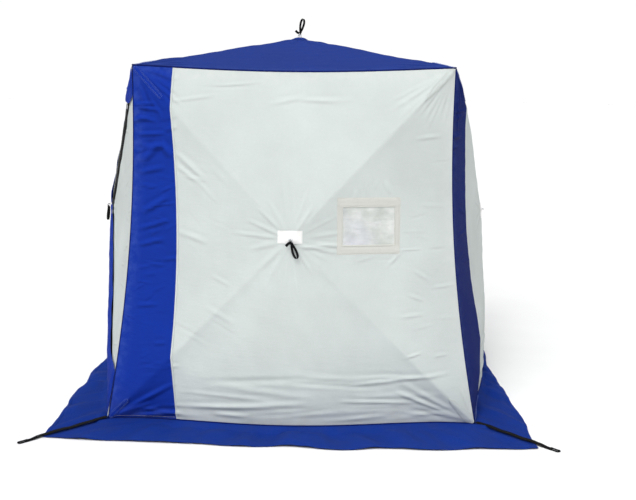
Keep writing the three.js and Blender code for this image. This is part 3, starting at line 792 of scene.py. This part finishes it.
# ---- Camera and light -----------------------------------------------------------------
CAMERA_PLACE = (0.2008, -5.6821, 1.7945)
CAMERA_TURN = (-0.8768, -10.8613, 0.5634)  # yaw, pitch and roll in degrees
LENS, SENSOR = 56.25, 36
SUN_FROM, SUN_STRENGTH, SUN_ANGLE = (-0.17, -0.52, 0.84), 2.7, 0.8
FILL_PLACE, FILL_TARGET, FILL_SIZE, FILL_POWER = (3.8, -2.4, 3.4), (0, 0, 1.0), 3.0, 12
FLOOR_RADIUS, FLOOR_DROP = 40, 0.0005
SKY_RAMP = ((1, 0.07), (2, 0.13), (3, 1.02), (4, 0.42))  # brighter near the horizon than above


def aim(name, data, right, up, back, place=(0, 0, 0)):
    """Adds a camera or light that looks away from back."""
    obj = bpy.data.objects.new(name, data)
    obj.matrix_world = Matrix([[right[k], up[k], back[k], place[k]] for k in range(3)] + [[0, 0, 0, 1]])
    bpy.context.scene.collection.objects.link(obj)
    return obj


def make_camera():
    yaw, pitch, roll = (math.radians(x) for x in CAMERA_TURN)
    ahead = np.array([math.sin(yaw) * math.cos(pitch), math.cos(yaw) * math.cos(pitch), math.sin(pitch)])
    level = np.array([math.cos(yaw), -math.sin(yaw), 0.0])
    upward = np.cross(level, ahead)
    right = level * math.cos(roll) + upward * math.sin(roll)
    up = upward * math.cos(roll) - level * math.sin(roll)
    data = bpy.data.cameras.new("camera")
    data.sensor_width = SENSOR
    data.lens = LENS
    data.clip_end = 100
    bpy.context.scene.camera = aim("camera", data, right, up, -ahead, CAMERA_PLACE)


def make_fill():
    data = bpy.data.lights.new("fill", "AREA")
    data.shape = "DISK"
    data.size = FILL_SIZE
    data.energy = FILL_POWER
    ahead = unit(np.subtract(FILL_TARGET, FILL_PLACE))
    right = unit(np.cross(ahead, Z))
    aim("fill", data, right, np.cross(right, ahead), -ahead, FILL_PLACE)


def make_sun():
    data = bpy.data.lights.new("sun", "SUN")
    data.energy = SUN_STRENGTH
    data.angle = SUN_ANGLE
    back = unit(np.array(SUN_FROM))
    right = unit(np.cross(Z, back))
    aim("sun", data, right, np.cross(back, right), back)


def make_stage():
    turn = np.linspace(0, 2 * np.pi, 96, endpoint=False)
    rim = np.stack([np.cos(turn) * FLOOR_RADIUS, np.sin(turn) * FLOOR_RADIUS, turn * 0 - FLOOR_DROP], -1)
    m = Maker("floor", Roughness=0.9, Specular_IOR_Level=0.1)
    speck = m.noise(m.coords("Object"), 1.5, 3.0)
    m.color(m.mix(m.spread(speck, 0.3, 0.7), (0.91, 0.91, 0.91, 1), (0.94, 0.94, 0.94, 1)))
    make_object("floor", rim, [tuple(range(len(rim)))], rim[:, :2], m.material, False)
    world = bpy.data.worlds.new("studio")
    world.use_nodes = True
    tree = world.node_tree
    back = tree.nodes["Background"]
    back.inputs["Color"].default_value = (1, 1, 1, 1)
    spot = tree.nodes.new("ShaderNodeTexCoord")
    split = tree.nodes.new("ShaderNodeSeparateXYZ")
    ramp = tree.nodes.new("ShaderNodeMapRange")
    tree.links.new(spot.outputs["Generated"], split.inputs[0])
    tree.links.new(split.outputs[2], ramp.inputs[0])
    tree.links.new(ramp.outputs[0], back.inputs["Strength"])
    for key, value in SKY_RAMP:
        ramp.inputs[key].default_value = value
    bpy.context.scene.world = world
    bpy.context.scene.view_settings.view_transform = "Standard"


make_camera()
make_stage()
make_sun()
make_fill()


# ---- Wall and roof cloth --------------------------------------------------------------
LOW_EDGE, HIGH_EDGE = PANE[2] - BINDING[1], PANE[3] + BINDING[1]
LEFT_EDGE, RIGHT_EDGE = PANE[0] - BINDING[0], PANE[1] + BINDING[0]
WALL_ROWS = steps((-HUB_UP, -STRAIGHT, LOW_EDGE, PANE[2], PANE[3], HIGH_EDGE, STRAIGHT, WALL_RISE))
FIELD_COLS = steps((SEAM_U, STRAIGHT, BASE_HALF))
WINDOW_COLS = steps((SEAM_U, LEFT_EDGE, PANE[0], PANE[1], RIGHT_EDGE, STRAIGHT, BASE_HALF))
STRIP_COLS = steps((-BASE_HALF, -STRAIGHT, SEAM_U))


def in_box(u, v, grow=(0, 0)):
    side, tall = grow
    return (u > PANE[0] - side) & (u < PANE[1] + side) & (v > PANE[2] - tall) & (v < PANE[3] + tall)


def door_outline():
    """The door's outline with its three corners rounded, as closely spaced points."""
    corners = np.array(DOOR_CORNERS)
    points = []
    for k in range(3):
        corner, before, after = corners[k], corners[k - 1], corners[(k + 1) % 3]
        start = corner + unit(before - corner) * DOOR_ROUND
        end = corner + unit(after - corner) * DOOR_ROUND
        f = np.linspace(0, 1, 17)[:, None]
        points.append((1 - f) ** 2 * start + 2 * f * (1 - f) * corner + f**2 * end)
    ring = np.vstack([*points, points[0][:1]])
    far = run_along(ring)
    marks = np.linspace(0, far[-1], int(far[-1] / 0.006))[:-1]
    return np.stack([np.interp(marks, far, ring[:, k]) for k in range(2)], -1)


DOOR = door_outline()


def in_door(u, v):
    """Even-odd test against the door's outline."""
    inside = np.zeros(len(u), bool)
    for (au, av), (bu, bv) in zip(DOOR, np.roll(DOOR, -1, 0)):
        if av != bv:
            inside ^= ((v < av) != (v < bv)) & (u < au + (v - av) * (bu - au) / (bv - av))
    return inside


def to_door(u, v):
    gap = (u[:, None] - DOOR[:, 0]) ** 2 + (v[:, None] - DOOR[:, 1]) ** 2
    near = gap.argmin(1)
    return DOOR[near, 0], DOOR[near, 1]


def make_walls():
    for face in WALLS:
        cloth, slot = (NAVY_CLOTH, "fabric_navy") if face is RIGHT else (BLUE_CLOTH, "fabric_blue")
        strip = cloth_panel(f"{face.name}_strip_cloth", face, STRIP_COLS, WALL_ROWS, cloth)
        follow(strip, face)
        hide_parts(f"{face.name}_wall_strip")
        keep, snap, cols = None, None, FIELD_COLS
        if face is FRONT:
            cols = WINDOW_COLS
            keep = lambda u, v: ~in_box(u, v, BINDING)
        if face is LEFT:
            keep, snap = (lambda u, v: ~in_door(u, v)), to_door
        field = cloth_panel(f"{face.name}_field_cloth", face, cols, WALL_ROWS, IVORY_CLOTH, keep, snap)
        follow(field, face)
        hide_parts(f"{face.name}_wall_field")


def make_roof():
    cols = steps((-TOP_HALF, -STRAIGHT, STRAIGHT, TOP_HALF))
    roof = cloth_panel("roof_cloth", ROOF, cols, cols, ROOF_CLOTH)
    follow(roof, ROOF)
    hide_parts("roof_panel")


def rim_clip(face, path, limit):
    """Draws points that lie past the face's rim back towards the hub."""
    return path * np.minimum(1, limit / face.reach(*path.T))[:, None]


def straight(a, b, gap):
    a, b = np.asarray(a, float), np.asarray(b, float)
    f = np.linspace(0, 1, max(2, int(np.linalg.norm(b - a) / gap)))[:, None]
    return a + (b - a) * f


def box_path(u0, u1, v0, v1):
    """The four sides of an oblong, each its own path."""
    corners = ((u0, v0), (u1, v0), (u1, v1), (u0, v1), (u0, v0))
    return [straight(a, b, 0.004) for a, b in zip(corners[:-1], corners[1:])]


def seam_path(face, aside):
    """Along the coloured strip's seam, at a distance beside it."""
    v = np.linspace(face.corners[0][1] + 0.02, face.corners[2][1] - 0.02, 200)
    return rim_clip(face, np.stack([SEAM_U + seam_shift(v) + aside, v], -1), 0.99)


# ---- Window ---------------------------------------------------------------------------
# Two rings of tape: how far outside the pane, the widths of level and upright sides, height.
WINDOW_TAPES = (
    ((0.0135, 0.0225), (BINDING[1] - 0.003, BINDING[0] - 0.003), 0.0020),
    ((0.002, 0.002), (0.007, 0.007), 0.0034),
)
WINDOW_STITCHES = ((0.0045, 0.0045), (0.023, 0.041), (0.015, 0.024))


def make_window():
    pane = cloth_panel("window_film", FRONT, WINDOW_COLS, WALL_ROWS, PANE_FILM, in_box)
    follow(pane, FRONT)
    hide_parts("front_window_pane")
    width, tall = PANE[1] - PANE[0], PANE[3] - PANE[2]
    ring = lambda u, v: in_box(u, v, BINDING) & ~in_box(u, v)
    border = cloth_panel("window_binding", FRONT, WINDOW_COLS, WALL_ROWS, BINDING_CLOTH, ring)
    follow(border, FRONT)
    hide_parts("front_window_binding")
    tapes = []
    for k, (grow, widths, rise) in enumerate(WINDOW_TAPES):
        u0, u1 = PANE[0] - grow[0], PANE[1] + grow[0]
        v0, v1 = PANE[2] - grow[1], PANE[3] + grow[1]
        ends = [np.array(end) for end in ((u0, v0), (u1, v0), (u1, v1), (u0, v1))]
        for side in range(4):
            broad, over = widths[side % 2], widths[1 - side % 2] / 2
            a, b = ends[side], ends[(side + 1) % 4]
            reach = unit(b - a) * over
            path = straight(a - reach, b + reach, 0.005)
            lift = (0.0006, 0.0002)[side % 2]
            tapes.append(band(f"window_tape_{k}_{side}", FRONT, path, broad, BINDING_CLOTH, lift, rise, 9))
    tape = join("window_tape", tapes)
    follow(tape, FRONT)
    rows = []
    for side, tall in WINDOW_STITCHES:
        rows += box_path(PANE[0] - side, PANE[1] + side, PANE[2] - tall, PANE[3] + tall)
    follow(stitches("window_stitches", FRONT, rows, IVORY_THREAD, 0.0040, 0.005), FRONT)


# ---- Door, zip and storm flaps --------------------------------------------------------
HUB_END, LOW_END, HIGH_END = (np.array(corner) for corner in DOOR_CORNERS)
HEM_SHARE = 0.965  # the door's hem stitches, as a share of its outline
HINGE_CLEAR = 0.012
TAPE_WIDTH, TAPE_SHIFT = 0.060, 0.004
TOOTH_GAP, TOOTH_WIDE, TOOTH_TALL = 0.0016, 0.0032, 0.0018


def make_door():
    cols = steps((0.0, STRAIGHT, BASE_HALF))
    door = cloth_panel("door_cloth", LEFT, cols, WALL_ROWS, IVORY_CLOTH, in_door, to_door)
    middle = (LOW_END + HIGH_END) / 2
    inward = unit(HUB_END - middle)
    start, end = (LEFT.world(*(middle + inward * far), 0.0) for far in (0.0, 0.15))
    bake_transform(door)
    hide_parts("door_panel")
    hem = resample(DOOR * HEM_SHARE + np.mean(DOOR, 0) * (1 - HEM_SHARE), 0.006)
    row = stitches("door_stitches", LEFT, [hem], IVORY_THREAD, 0.0012)
    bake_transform(row)


def zip_path():
    """Along the door's lower side to the hub, round it and back along the upper side."""
    hinge_way = unit(HIGH_END - LOW_END)
    ring = np.roll(DOOR, -int(np.argmin(np.hypot(*(DOOR - LOW_END).T))), 0)
    aside = (ring - LOW_END) @ np.array([-hinge_way[1], hinge_way[0]])
    order = ring[np.abs(aside) > HINGE_CLEAR]
    gap = np.linalg.norm(np.diff(np.vstack([order, order[:1]]), axis=0), axis=1)
    return np.roll(order, -int(np.argmax(gap)) - 1, 0)


def make_zip():
    path = zip_path()
    along = unit(np.gradient(path, axis=0))
    outward = np.stack([-along[:, 1], along[:, 0]], -1)
    outward *= np.sign(((path - DOOR.mean(0)) * outward).sum(1).mean())
    tape = band("zip_tape", LEFT, path + outward * TAPE_SHIFT, TAPE_WIDTH, BLACK_TAPE, 0.0012, 0.0010)
    fine = resample(path, TOOTH_GAP)
    spots = LEFT.world(*fine.T, LEFT.surface(*fine.T) + 0.0030)
    turn = np.arange(8) * np.pi / 4
    tooth = np.where(np.arange(len(fine)) % 2, 1.0, 0.70)[:, None]
    wide, tall = np.cos(turn) * TOOTH_WIDE * tooth, np.sin(turn) * TOOTH_TALL * tooth
    coil = sweep("zip_coil", spots, LEFT.axes[2], np.stack([tall, wide], -1), COIL_PLASTIC)
    ride(tape, "door_zip")
    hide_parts("door_zip")
    ride(coil, "door_zip")


def flap(name, start, end, inner, outer, widen, lift, seed):
    """A loose strip of cloth beside the zip, from the hub out to the wall's corner.

    inner and outer are its edges' distances beside that line. widen is added at the corner end."""
    way = unit(end - start)
    aside = np.array([way[1], -way[0]]) * np.sign(outer)
    s, t = np.arange(0, np.linalg.norm(end - start), 0.008), np.linspace(0, 1, 19)
    far = inner + (abs(outer) - inner) * t
    taper = 0.45 + 0.55 * smooth(s / 0.16)  # narrower at the hub
    spread = smooth((s / s[-1] - 0.71) / 0.16)[:, None, None] * (widen * (1 - t) ** 0.5)[None, :, None]
    spots = start + way * s[:, None, None] + aside * (far[None, :, None] * taper[:, None, None] - spread)
    u, v = rim_clip(LEFT, spots.reshape(-1, 2), 0.992).T
    rng = np.random.default_rng(seed)
    wave = sum(np.sin(s / rng.uniform(0.016, 0.055) + rng.uniform(0, 6)) for _ in range(5)) / 5
    arch = lift * np.sin(np.pi * np.clip(t + 0.12, 0, 1)) ** 0.8
    n = arch[None] + ((1 - t) ** 2)[None] * (0.0035 * wave[:, None]) + 0.003
    n = n * smooth((1 - LEFT.reach(u, v).reshape(n.shape)) / 0.03) + 0.0012
    points = LEFT.world(u, v, LEFT.surface(u, v) + n.ravel())
    uv = np.stack(np.broadcast_arrays(far[None], s[:, None]), -1).reshape(-1, 2)
    faces = grid_faces(len(s), len(t))
    if outer > 0:
        faces = faces[:, ::-1]
    obj = make_object(name, points, faces, uv, BLUE_CLOTH)
    paint(obj, "wear", np.tile(smooth((0.1 - t) / 0.1) * 0.6, len(s)))
    return obj


def make_flaps():
    low_corner, high_corner = (LEFT.corners[k][:2] for k in (1, 2))
    low = flap("lower_flap", HUB_END, low_corner, -0.052, 0.058, 0.09, 0.010, 61)
    ride(low, "door_zip")
    high = flap("upper_flap", HUB_END, high_corner, 0.046, -0.118, 0.14, 0.006, 62)
    follow(high, LEFT)


# ---- Skirt ----------------------------------------------------------------------------
SKIRT_HEIGHT = 0.0022
SKIRT_STRIP = 0.26
HEM_WIDTH, HEM_THICK = 0.018, 0.0016


def make_skirt():
    """A ring of cloth from the walls' foot to its outer edge, with ripples lying on the ground."""
    count, across = 120, 22
    t = np.linspace(0, 1, across)
    f = np.arange(count) / count
    seam = np.vstack([base_edge(i, f) for i in range(4)])
    sides = []
    for i in range(4):
        a, b = (np.append(SKIRT_CORNERS[k % 4], 0.0) for k in (i, i + 1))
        sides.append(line(a, b, f) + np.outer(SKIRT_BOWS[i] * hump(f, 1.5), OUTWARD[i]))
    far = np.vstack(sides)
    run = run_along(far)
    total = run[-1] + np.linalg.norm(far[0] - far[-1])
    turn = run / total * 2 * np.pi
    rng = np.random.default_rng(71)
    ripple = np.zeros((len(seam), across))
    shape = np.zeros(len(seam))
    for _ in range(26):
        waves, phase, slant = rng.integers(9, 64), rng.uniform(0, 6.3), rng.normal(0, 1.6)
        tall = 0.0060 * rng.uniform(0.3, 1) * (18 / (waves + 9)) ** 0.6
        ripple += tall * np.maximum(np.sin(waves * turn[:, None] + phase + slant * t), -0.35)
    for _ in range(7):
        shape += np.sin(rng.integers(5, 26) * turn + rng.uniform(0, 6.3)) * 0.0055
    outward = unit(far - seam)
    far = far + outward * shape[:, None]
    spots = seam[:, None] * (1 - t[None, :, None]) + far[:, None] * t[None, :, None]
    fall = np.clip(1 - t / 0.226, 0, 1)
    middle = np.sin(np.pi * np.clip((t - 0.05) / 0.95, 0, 1)) ** 0.6 + 0.35 * t
    z = seam[:, 2:3] * fall + SKIRT_HEIGHT + np.maximum(ripple * middle, -0.0005)
    diagonal = np.abs(np.abs(spots[..., 0]) - np.abs(spots[..., 1])) / math.sqrt(2)
    under_strap = 1 - smooth((diagonal - 0.020) / 0.05)
    spots[..., 2] = z - (z - SKIRT_HEIGHT) * under_strap * (fall[None] == 0)
    points = spots.reshape(-1, 3)
    uv = np.stack(np.broadcast_arrays(run[:, None], t[None] * SKIRT_STRIP), -1).reshape(-1, 2)
    faces = np.vstack([grid_faces(len(seam), across), closing_faces(len(seam), across)])
    skirt = make_object("skirt_cloth", points, faces, uv, SKIRT_CLOTH)
    paint(skirt, "wear", np.tile(smooth((t - 0.9) / 0.1) * 0.8, len(seam)))
    ride(skirt, "root")
    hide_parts("snow_skirt")
    hem = spots[:, -2] * 0.35 + spots[:, -1] * 0.65
    hem[:, 2] += 0.0018
    section = tape_section(HEM_WIDTH, HEM_THICK)
    tape = sweep("skirt_hem", hem, outward * (1, 1, 0), section, SKIRT_CLOTH, closed=True)
    ride(tape, "root")


# ---- Piping, seams and patches --------------------------------------------------------
def make_piping():
    f = np.linspace(0.0, 1.0, 160)
    g = np.linspace(0.004, 0.996, 160)
    pieces = []
    for i in range(4):
        inward = np.append(-SIGNS[i], 0.0) * 0.0006
        aside = unit(SIGNS[i] @ np.array([[0, 1, 0], [-1, 0, 0]]))
        for label, path, across, radius in (
            ("upright", upright(i, g) + inward, aside, 0.0034),
            ("roof_rim", roof_edge(i, f), Z, 0.0042),
            ("foot_rim", base_edge(i, f) + Z * 0.0038, Z, 0.0036),
        ):
            pieces.append(sweep(f"{label}_{i}", path, across, round_section(radius), PIPING_CLOTH))
    ride(join("piping", pieces), "root")


def make_seams():
    for face in WALLS:
        tape = band(f"{face.name}_seam", face, seam_path(face, 0.005), 0.011, IVORY_CLOTH, 0.0008, 0.0018)
        follow(tape, face)
        foot = np.stack([np.linspace(-0.90, 0.90, 220), np.full(220, -2.0)], -1)
        foot[:, 1] = np.interp(foot[:, 0], face.bottom[:, 0], face.bottom[:, 1]) + 0.016
        for label, path, thread, lift, slot in (
            ("seam", seam_path(face, 0.0085), IVORY_THREAD, 0.0028, "fabric_ivory"),
            ("strip", seam_path(face, -0.005), BLUE_THREAD, 0.0010, "fabric_blue"),
            ("hem", rim_clip(face, foot, 0.985), IVORY_THREAD, 0.0010, "fabric_ivory"),
        ):
            follow(stitches(f"{face.name}_{label}_stitches", face, [path], thread, lift), face)


# Length, width at the corner, width at the tip, for each corner from the lower left.
POCKETS = ((0.17, 0.034, 0.026), (0.20, 0.070, 0.030), (0.22, 0.040, 0.026), (0.235, 0.032, 0.028))
ROOF_POCKET = (0.15, 0.040, 0.026)
# Left, right, foot and top of the hub patches and of the stitched box above the front one.
PATCH = (-0.045, 0.045, -0.045, 0.045)
FRONT_PATCH = (-0.062, 0.056, -0.019, 0.042)
FRONT_BOX = (-0.052, 0.050, 0.050, 0.078)


def pocket_look(face, k):
    """The cloth, slot and thread of the rod pocket at a face's corner k."""
    if face is not ROOF and k in (1, 2):
        return IVORY_CLOTH, "fabric_ivory", IVORY_THREAD
    if face is RIGHT:
        return NAVY_CLOTH, "fabric_navy", PALE_THREAD
    return ROOF_CLOTH if face is ROOF else BLUE_CLOTH, "fabric_blue", PALE_THREAD


def make_pockets():
    for face in (*WALLS, ROOF):
        for k, corner in enumerate(face.corners):
            long, broad, narrow = ROOF_POCKET if face is ROOF else POCKETS[k]
            way = unit(-corner[:2])
            s = np.linspace(0.012, long, 46)
            width = np.minimum(np.interp(s, (0, long - 0.022, long), (broad, narrow, 0.004)), 1.3 * s)
            path = rim_clip(face, corner[:2] + way * s[:, None], 0.992)
            cloth, slot, thread = pocket_look(face, k)
            rise = 0.0008 if face is ROOF else 0.0022
            patch = band(f"{face.name}_pocket_{k}", face, path, width, cloth, 0.0010, rise, 11)
            follow(patch, face)
            side = np.array([-way[1], way[0]])
            rows = []
            for inset in (0.003, 0.008):
                for sign in (-1, 1):
                    edge = path + side * (sign * np.maximum(width / 2 - inset, 0.001))[:, None]
                    rows.append(edge[:-3])
            follow(stitches(f"{face.name}_pocket_thread_{k}", face, rows, thread, 0.0042, 0.006), face)


def cover_washer(obj, face):
    """Lifts the cloth that lies over the hub's washer."""
    u, v, n = face.local(points_of(obj)).T
    r = np.hypot(u, v)
    over = face.pop + 0.0045 - 0.3 * (np.hypot(r, 0.03) - 0.03) - 0.012 * smooth((r - 0.02) / 0.05)
    obj.data.vertices.foreach_set("co", face.world(u, v, np.maximum(n, over)).ravel())
    obj.data.update()


def make_hub_patches():
    for face in (*WALLS, ROOF):
        u0, u1, v0, v1 = FRONT_PATCH if face is FRONT else PATCH
        cloth, thread, slot = PATCH_CLOTH, IVORY_THREAD, "fabric_ivory"
        if face is ROOF:
            cloth, thread, slot = ROOF_CLOTH, BLUE_THREAD, "fabric_blue"
        path = np.stack([np.full(40, (u0 + u1) / 2), np.linspace(v0, v1, 40)], -1)
        patch = band(f"{face.name}_hub_patch", face, path, u1 - u0, cloth, 0.0006, 0.0016, 41)
        cover_washer(patch, face)
        follow(patch, face)
        rows = box_path(u0 + 0.004, u1 - 0.004, v0 + 0.004, v1 - 0.004)
        if face is FRONT:
            rows += box_path(*FRONT_BOX)
        follow(stitches(f"{face.name}_hub_thread", face, rows, thread, 0.0026, 0.006), face)


# ---- Webbing --------------------------------------------------------------------------
# Distance from the base corner and height of the strap's middle.
STRAP_PROFILE = np.array(
    [
        (0.009, 0.012),
        (0.060, 0.0130),
        (0.120, 0.0095),
        (0.355, 0.0078),
        (0.387, 0.0070),
        (0.420, 0.0012),
        (0.452, 0.0012),
    ]
)
STRAP_WIDTH, STRAP_THICK = 0.027, 0.0026
END_START, END_MIDDLE, END_RADIUS = 0.440, 0.4825, 0.0095
END_HEIGHTS = ((0.440, 0.455, 0.492), (0.0046, 0.0032, 0.0036))
TACKS = (0.425, 0.446)


def make_straps():
    """A flat strap over each corner of the skirt, ending in a loop for a stake."""
    start, end = STRAP_PROFILE[0, 0], STRAP_PROFILE[-1, 0]
    turn = np.linspace(-np.pi / 2, np.pi / 2, 25)
    arc = np.stack([END_MIDDLE + np.cos(turn) * END_RADIUS, np.sin(turn) * END_RADIUS], -1)
    legs = np.linspace(END_START, END_MIDDLE, 9)[:-1]
    near, far = np.stack([legs, legs * 0 - END_RADIUS], -1), np.stack([legs[::-1], legs * 0 + END_RADIUS], -1)
    plan = np.vstack([near, arc, far])
    height = np.interp(plan[:, 0], *END_HEIGHTS)
    spots = np.array([(x, y) for x in TACKS for y in np.linspace(-0.009, 0.009, 7)])
    for i, name in enumerate(CORNER_NAMES):
        out = np.append(unit(SIGNS[i]), 0.0)
        side = np.cross(Z, out)
        foot = base_corner(i)
        r = np.linspace(start, end, 90)
        rng = np.random.default_rng(80 + i)
        z = np.interp(r, *STRAP_PROFILE.T) + STRAP_THICK / 2
        over_skirt = smooth((r - 0.05) / 0.05) * smooth((0.38 - r) / 0.05)
        z += 0.0030 * np.abs(np.sin(r * 24 + rng.uniform(0, 6))) * over_skirt
        sway = 0.004 * np.sin(r * 11 + rng.uniform(0, 6)) * np.sin(np.pi * (r - start) / (end - start))
        path = foot + out * r[:, None] + Z * z[:, None] + side * sway[:, None]
        strap = sweep(f"strap_{name}", path, side, tape_section(STRAP_WIDTH, STRAP_THICK), BLACK_WEB)
        loop = foot + out * plan[:, :1] + side * plan[:, 1:] + Z * height[:, None]
        across = np.cross(Z, unit(np.gradient(loop, axis=0)))
        eye = sweep(f"strap_loop_{name}", loop, across, tape_section(0.0080, 0.0050), BLACK_WEB)
        strap = join(f"anchor_webbing_{name}", [strap, eye])
        ride(strap, "root")
        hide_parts(f"anchor_strap_{name}")
        centre = foot + out * spots[:, :1] + side * spots[:, 1:] + Z * 0.0040
        along, up = (np.broadcast_to(way, centre.shape) for way in (unit(out + side * 0.15), Z))
        tack = stitch_mesh(f"strap_tack_{name}", centre, along, up, DARK_THREAD, 0.009, 0.0014)
        ride(tack, "root")


# In a pull loop's own frame: x across it, y up to the staple's bar, z outward.
LOOP_TILTS = {"front": 20, "roof": 12}
LOOP_TOP, LOOP_LONG, LOOP_HALF, LOOP_TWIST = -0.0145, 0.0755, 0.0132, 0.0025
TAIL = ((0.004, -0.012, 0.006), (-0.006, -0.011, 0.009), (-0.017, -0.014, 0.008), (-0.029, -0.021, 0.003))
WRAPS = ((-0.019, 0.3), (-0.024, -0.3))
RING_RADIUS, RING_WIRE, RING_TURN, RING_DROP = 0.0095, 0.0016, 0.95, -0.0055


def make_pull_loops():
    turn = np.linspace(0, 2 * np.pi, 72, endpoint=False)
    drop = (1 - np.cos(turn)) / 2
    wide = LOOP_HALF * np.sin(turn) * (0.25 + 0.75 * drop)
    plan = np.stack([wide, LOOP_TOP - LOOP_LONG * drop, LOOP_TWIST * np.sin(turn)], -1)
    narrow = (0.62 + 0.38 * smooth(drop / 0.3))[:, None, None]
    section = tape_section(0.0135, 0.0026)[None] * np.concatenate([narrow, narrow * 0 + 1], -1)
    for face in (FRONT, BACK, LEFT, ROOF):
        name = face.name
        start = face.world(0.0, 0.0, face.pop + STAPLE_BAR)
        x, y, z = face.axes
        if face is ROOF:
            x, y, z = np.array([1.0, 0, 0]), -Z, np.array([0, 1.0, 0])
        tilt = math.radians(LOOP_TILTS.get(name, 4))
        x, y = x * math.cos(tilt) + y * math.sin(tilt), y * math.cos(tilt) - x * math.sin(tilt)
        place = lambda p: start + np.asarray(p, float) @ np.array([x, y, z])
        across = z * 0.55 + x * 0.83
        loop = sweep(f"{name}_loop", place(plan), across, section, BLACK_WEB, closed=True)
        parts = [loop, sweep(f"{name}_tail", place(TAIL), y, tape_section(0.013, 0.0024), BLACK_WEB)]
        for k, (low, lean) in enumerate(WRAPS):
            level = low + np.cos(turn) * 0.006 * lean
            wrap = np.stack([np.cos(turn) * 0.0062, level, np.sin(turn) * 0.0066], -1)
            flat = tape_section(0.0062, 0.0028)
            parts.append(sweep(f"{name}_wrap_{k}", place(wrap), y, flat, BLACK_WEB, closed=True))
        web = join(f"{name}_pull_webbing", parts)
        ride(web, f"{name}_pull_loop")
        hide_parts(f"{name}_pull_loop")
        flat = np.array([math.cos(RING_TURN), 0, math.sin(RING_TURN)])
        circle = np.cos(turn)[:, None] * np.array([0, 1.0, 0]) + np.sin(turn)[:, None] * flat
        path = place(circle * RING_RADIUS + [0, RING_DROP, 0])
        wire = round_section(RING_WIRE)
        ring = sweep(f"{name}_pull_ring", path, place([0, 0, 1]) - start, wire, METAL, closed=True)
        ride(ring, f"{name}_pull_loop")


make_walls()
make_roof()
make_window()
make_door()
make_zip()
make_flaps()
make_skirt()
make_piping()
make_seams()
make_pockets()
make_hub_patches()
make_straps()
make_pull_loops()
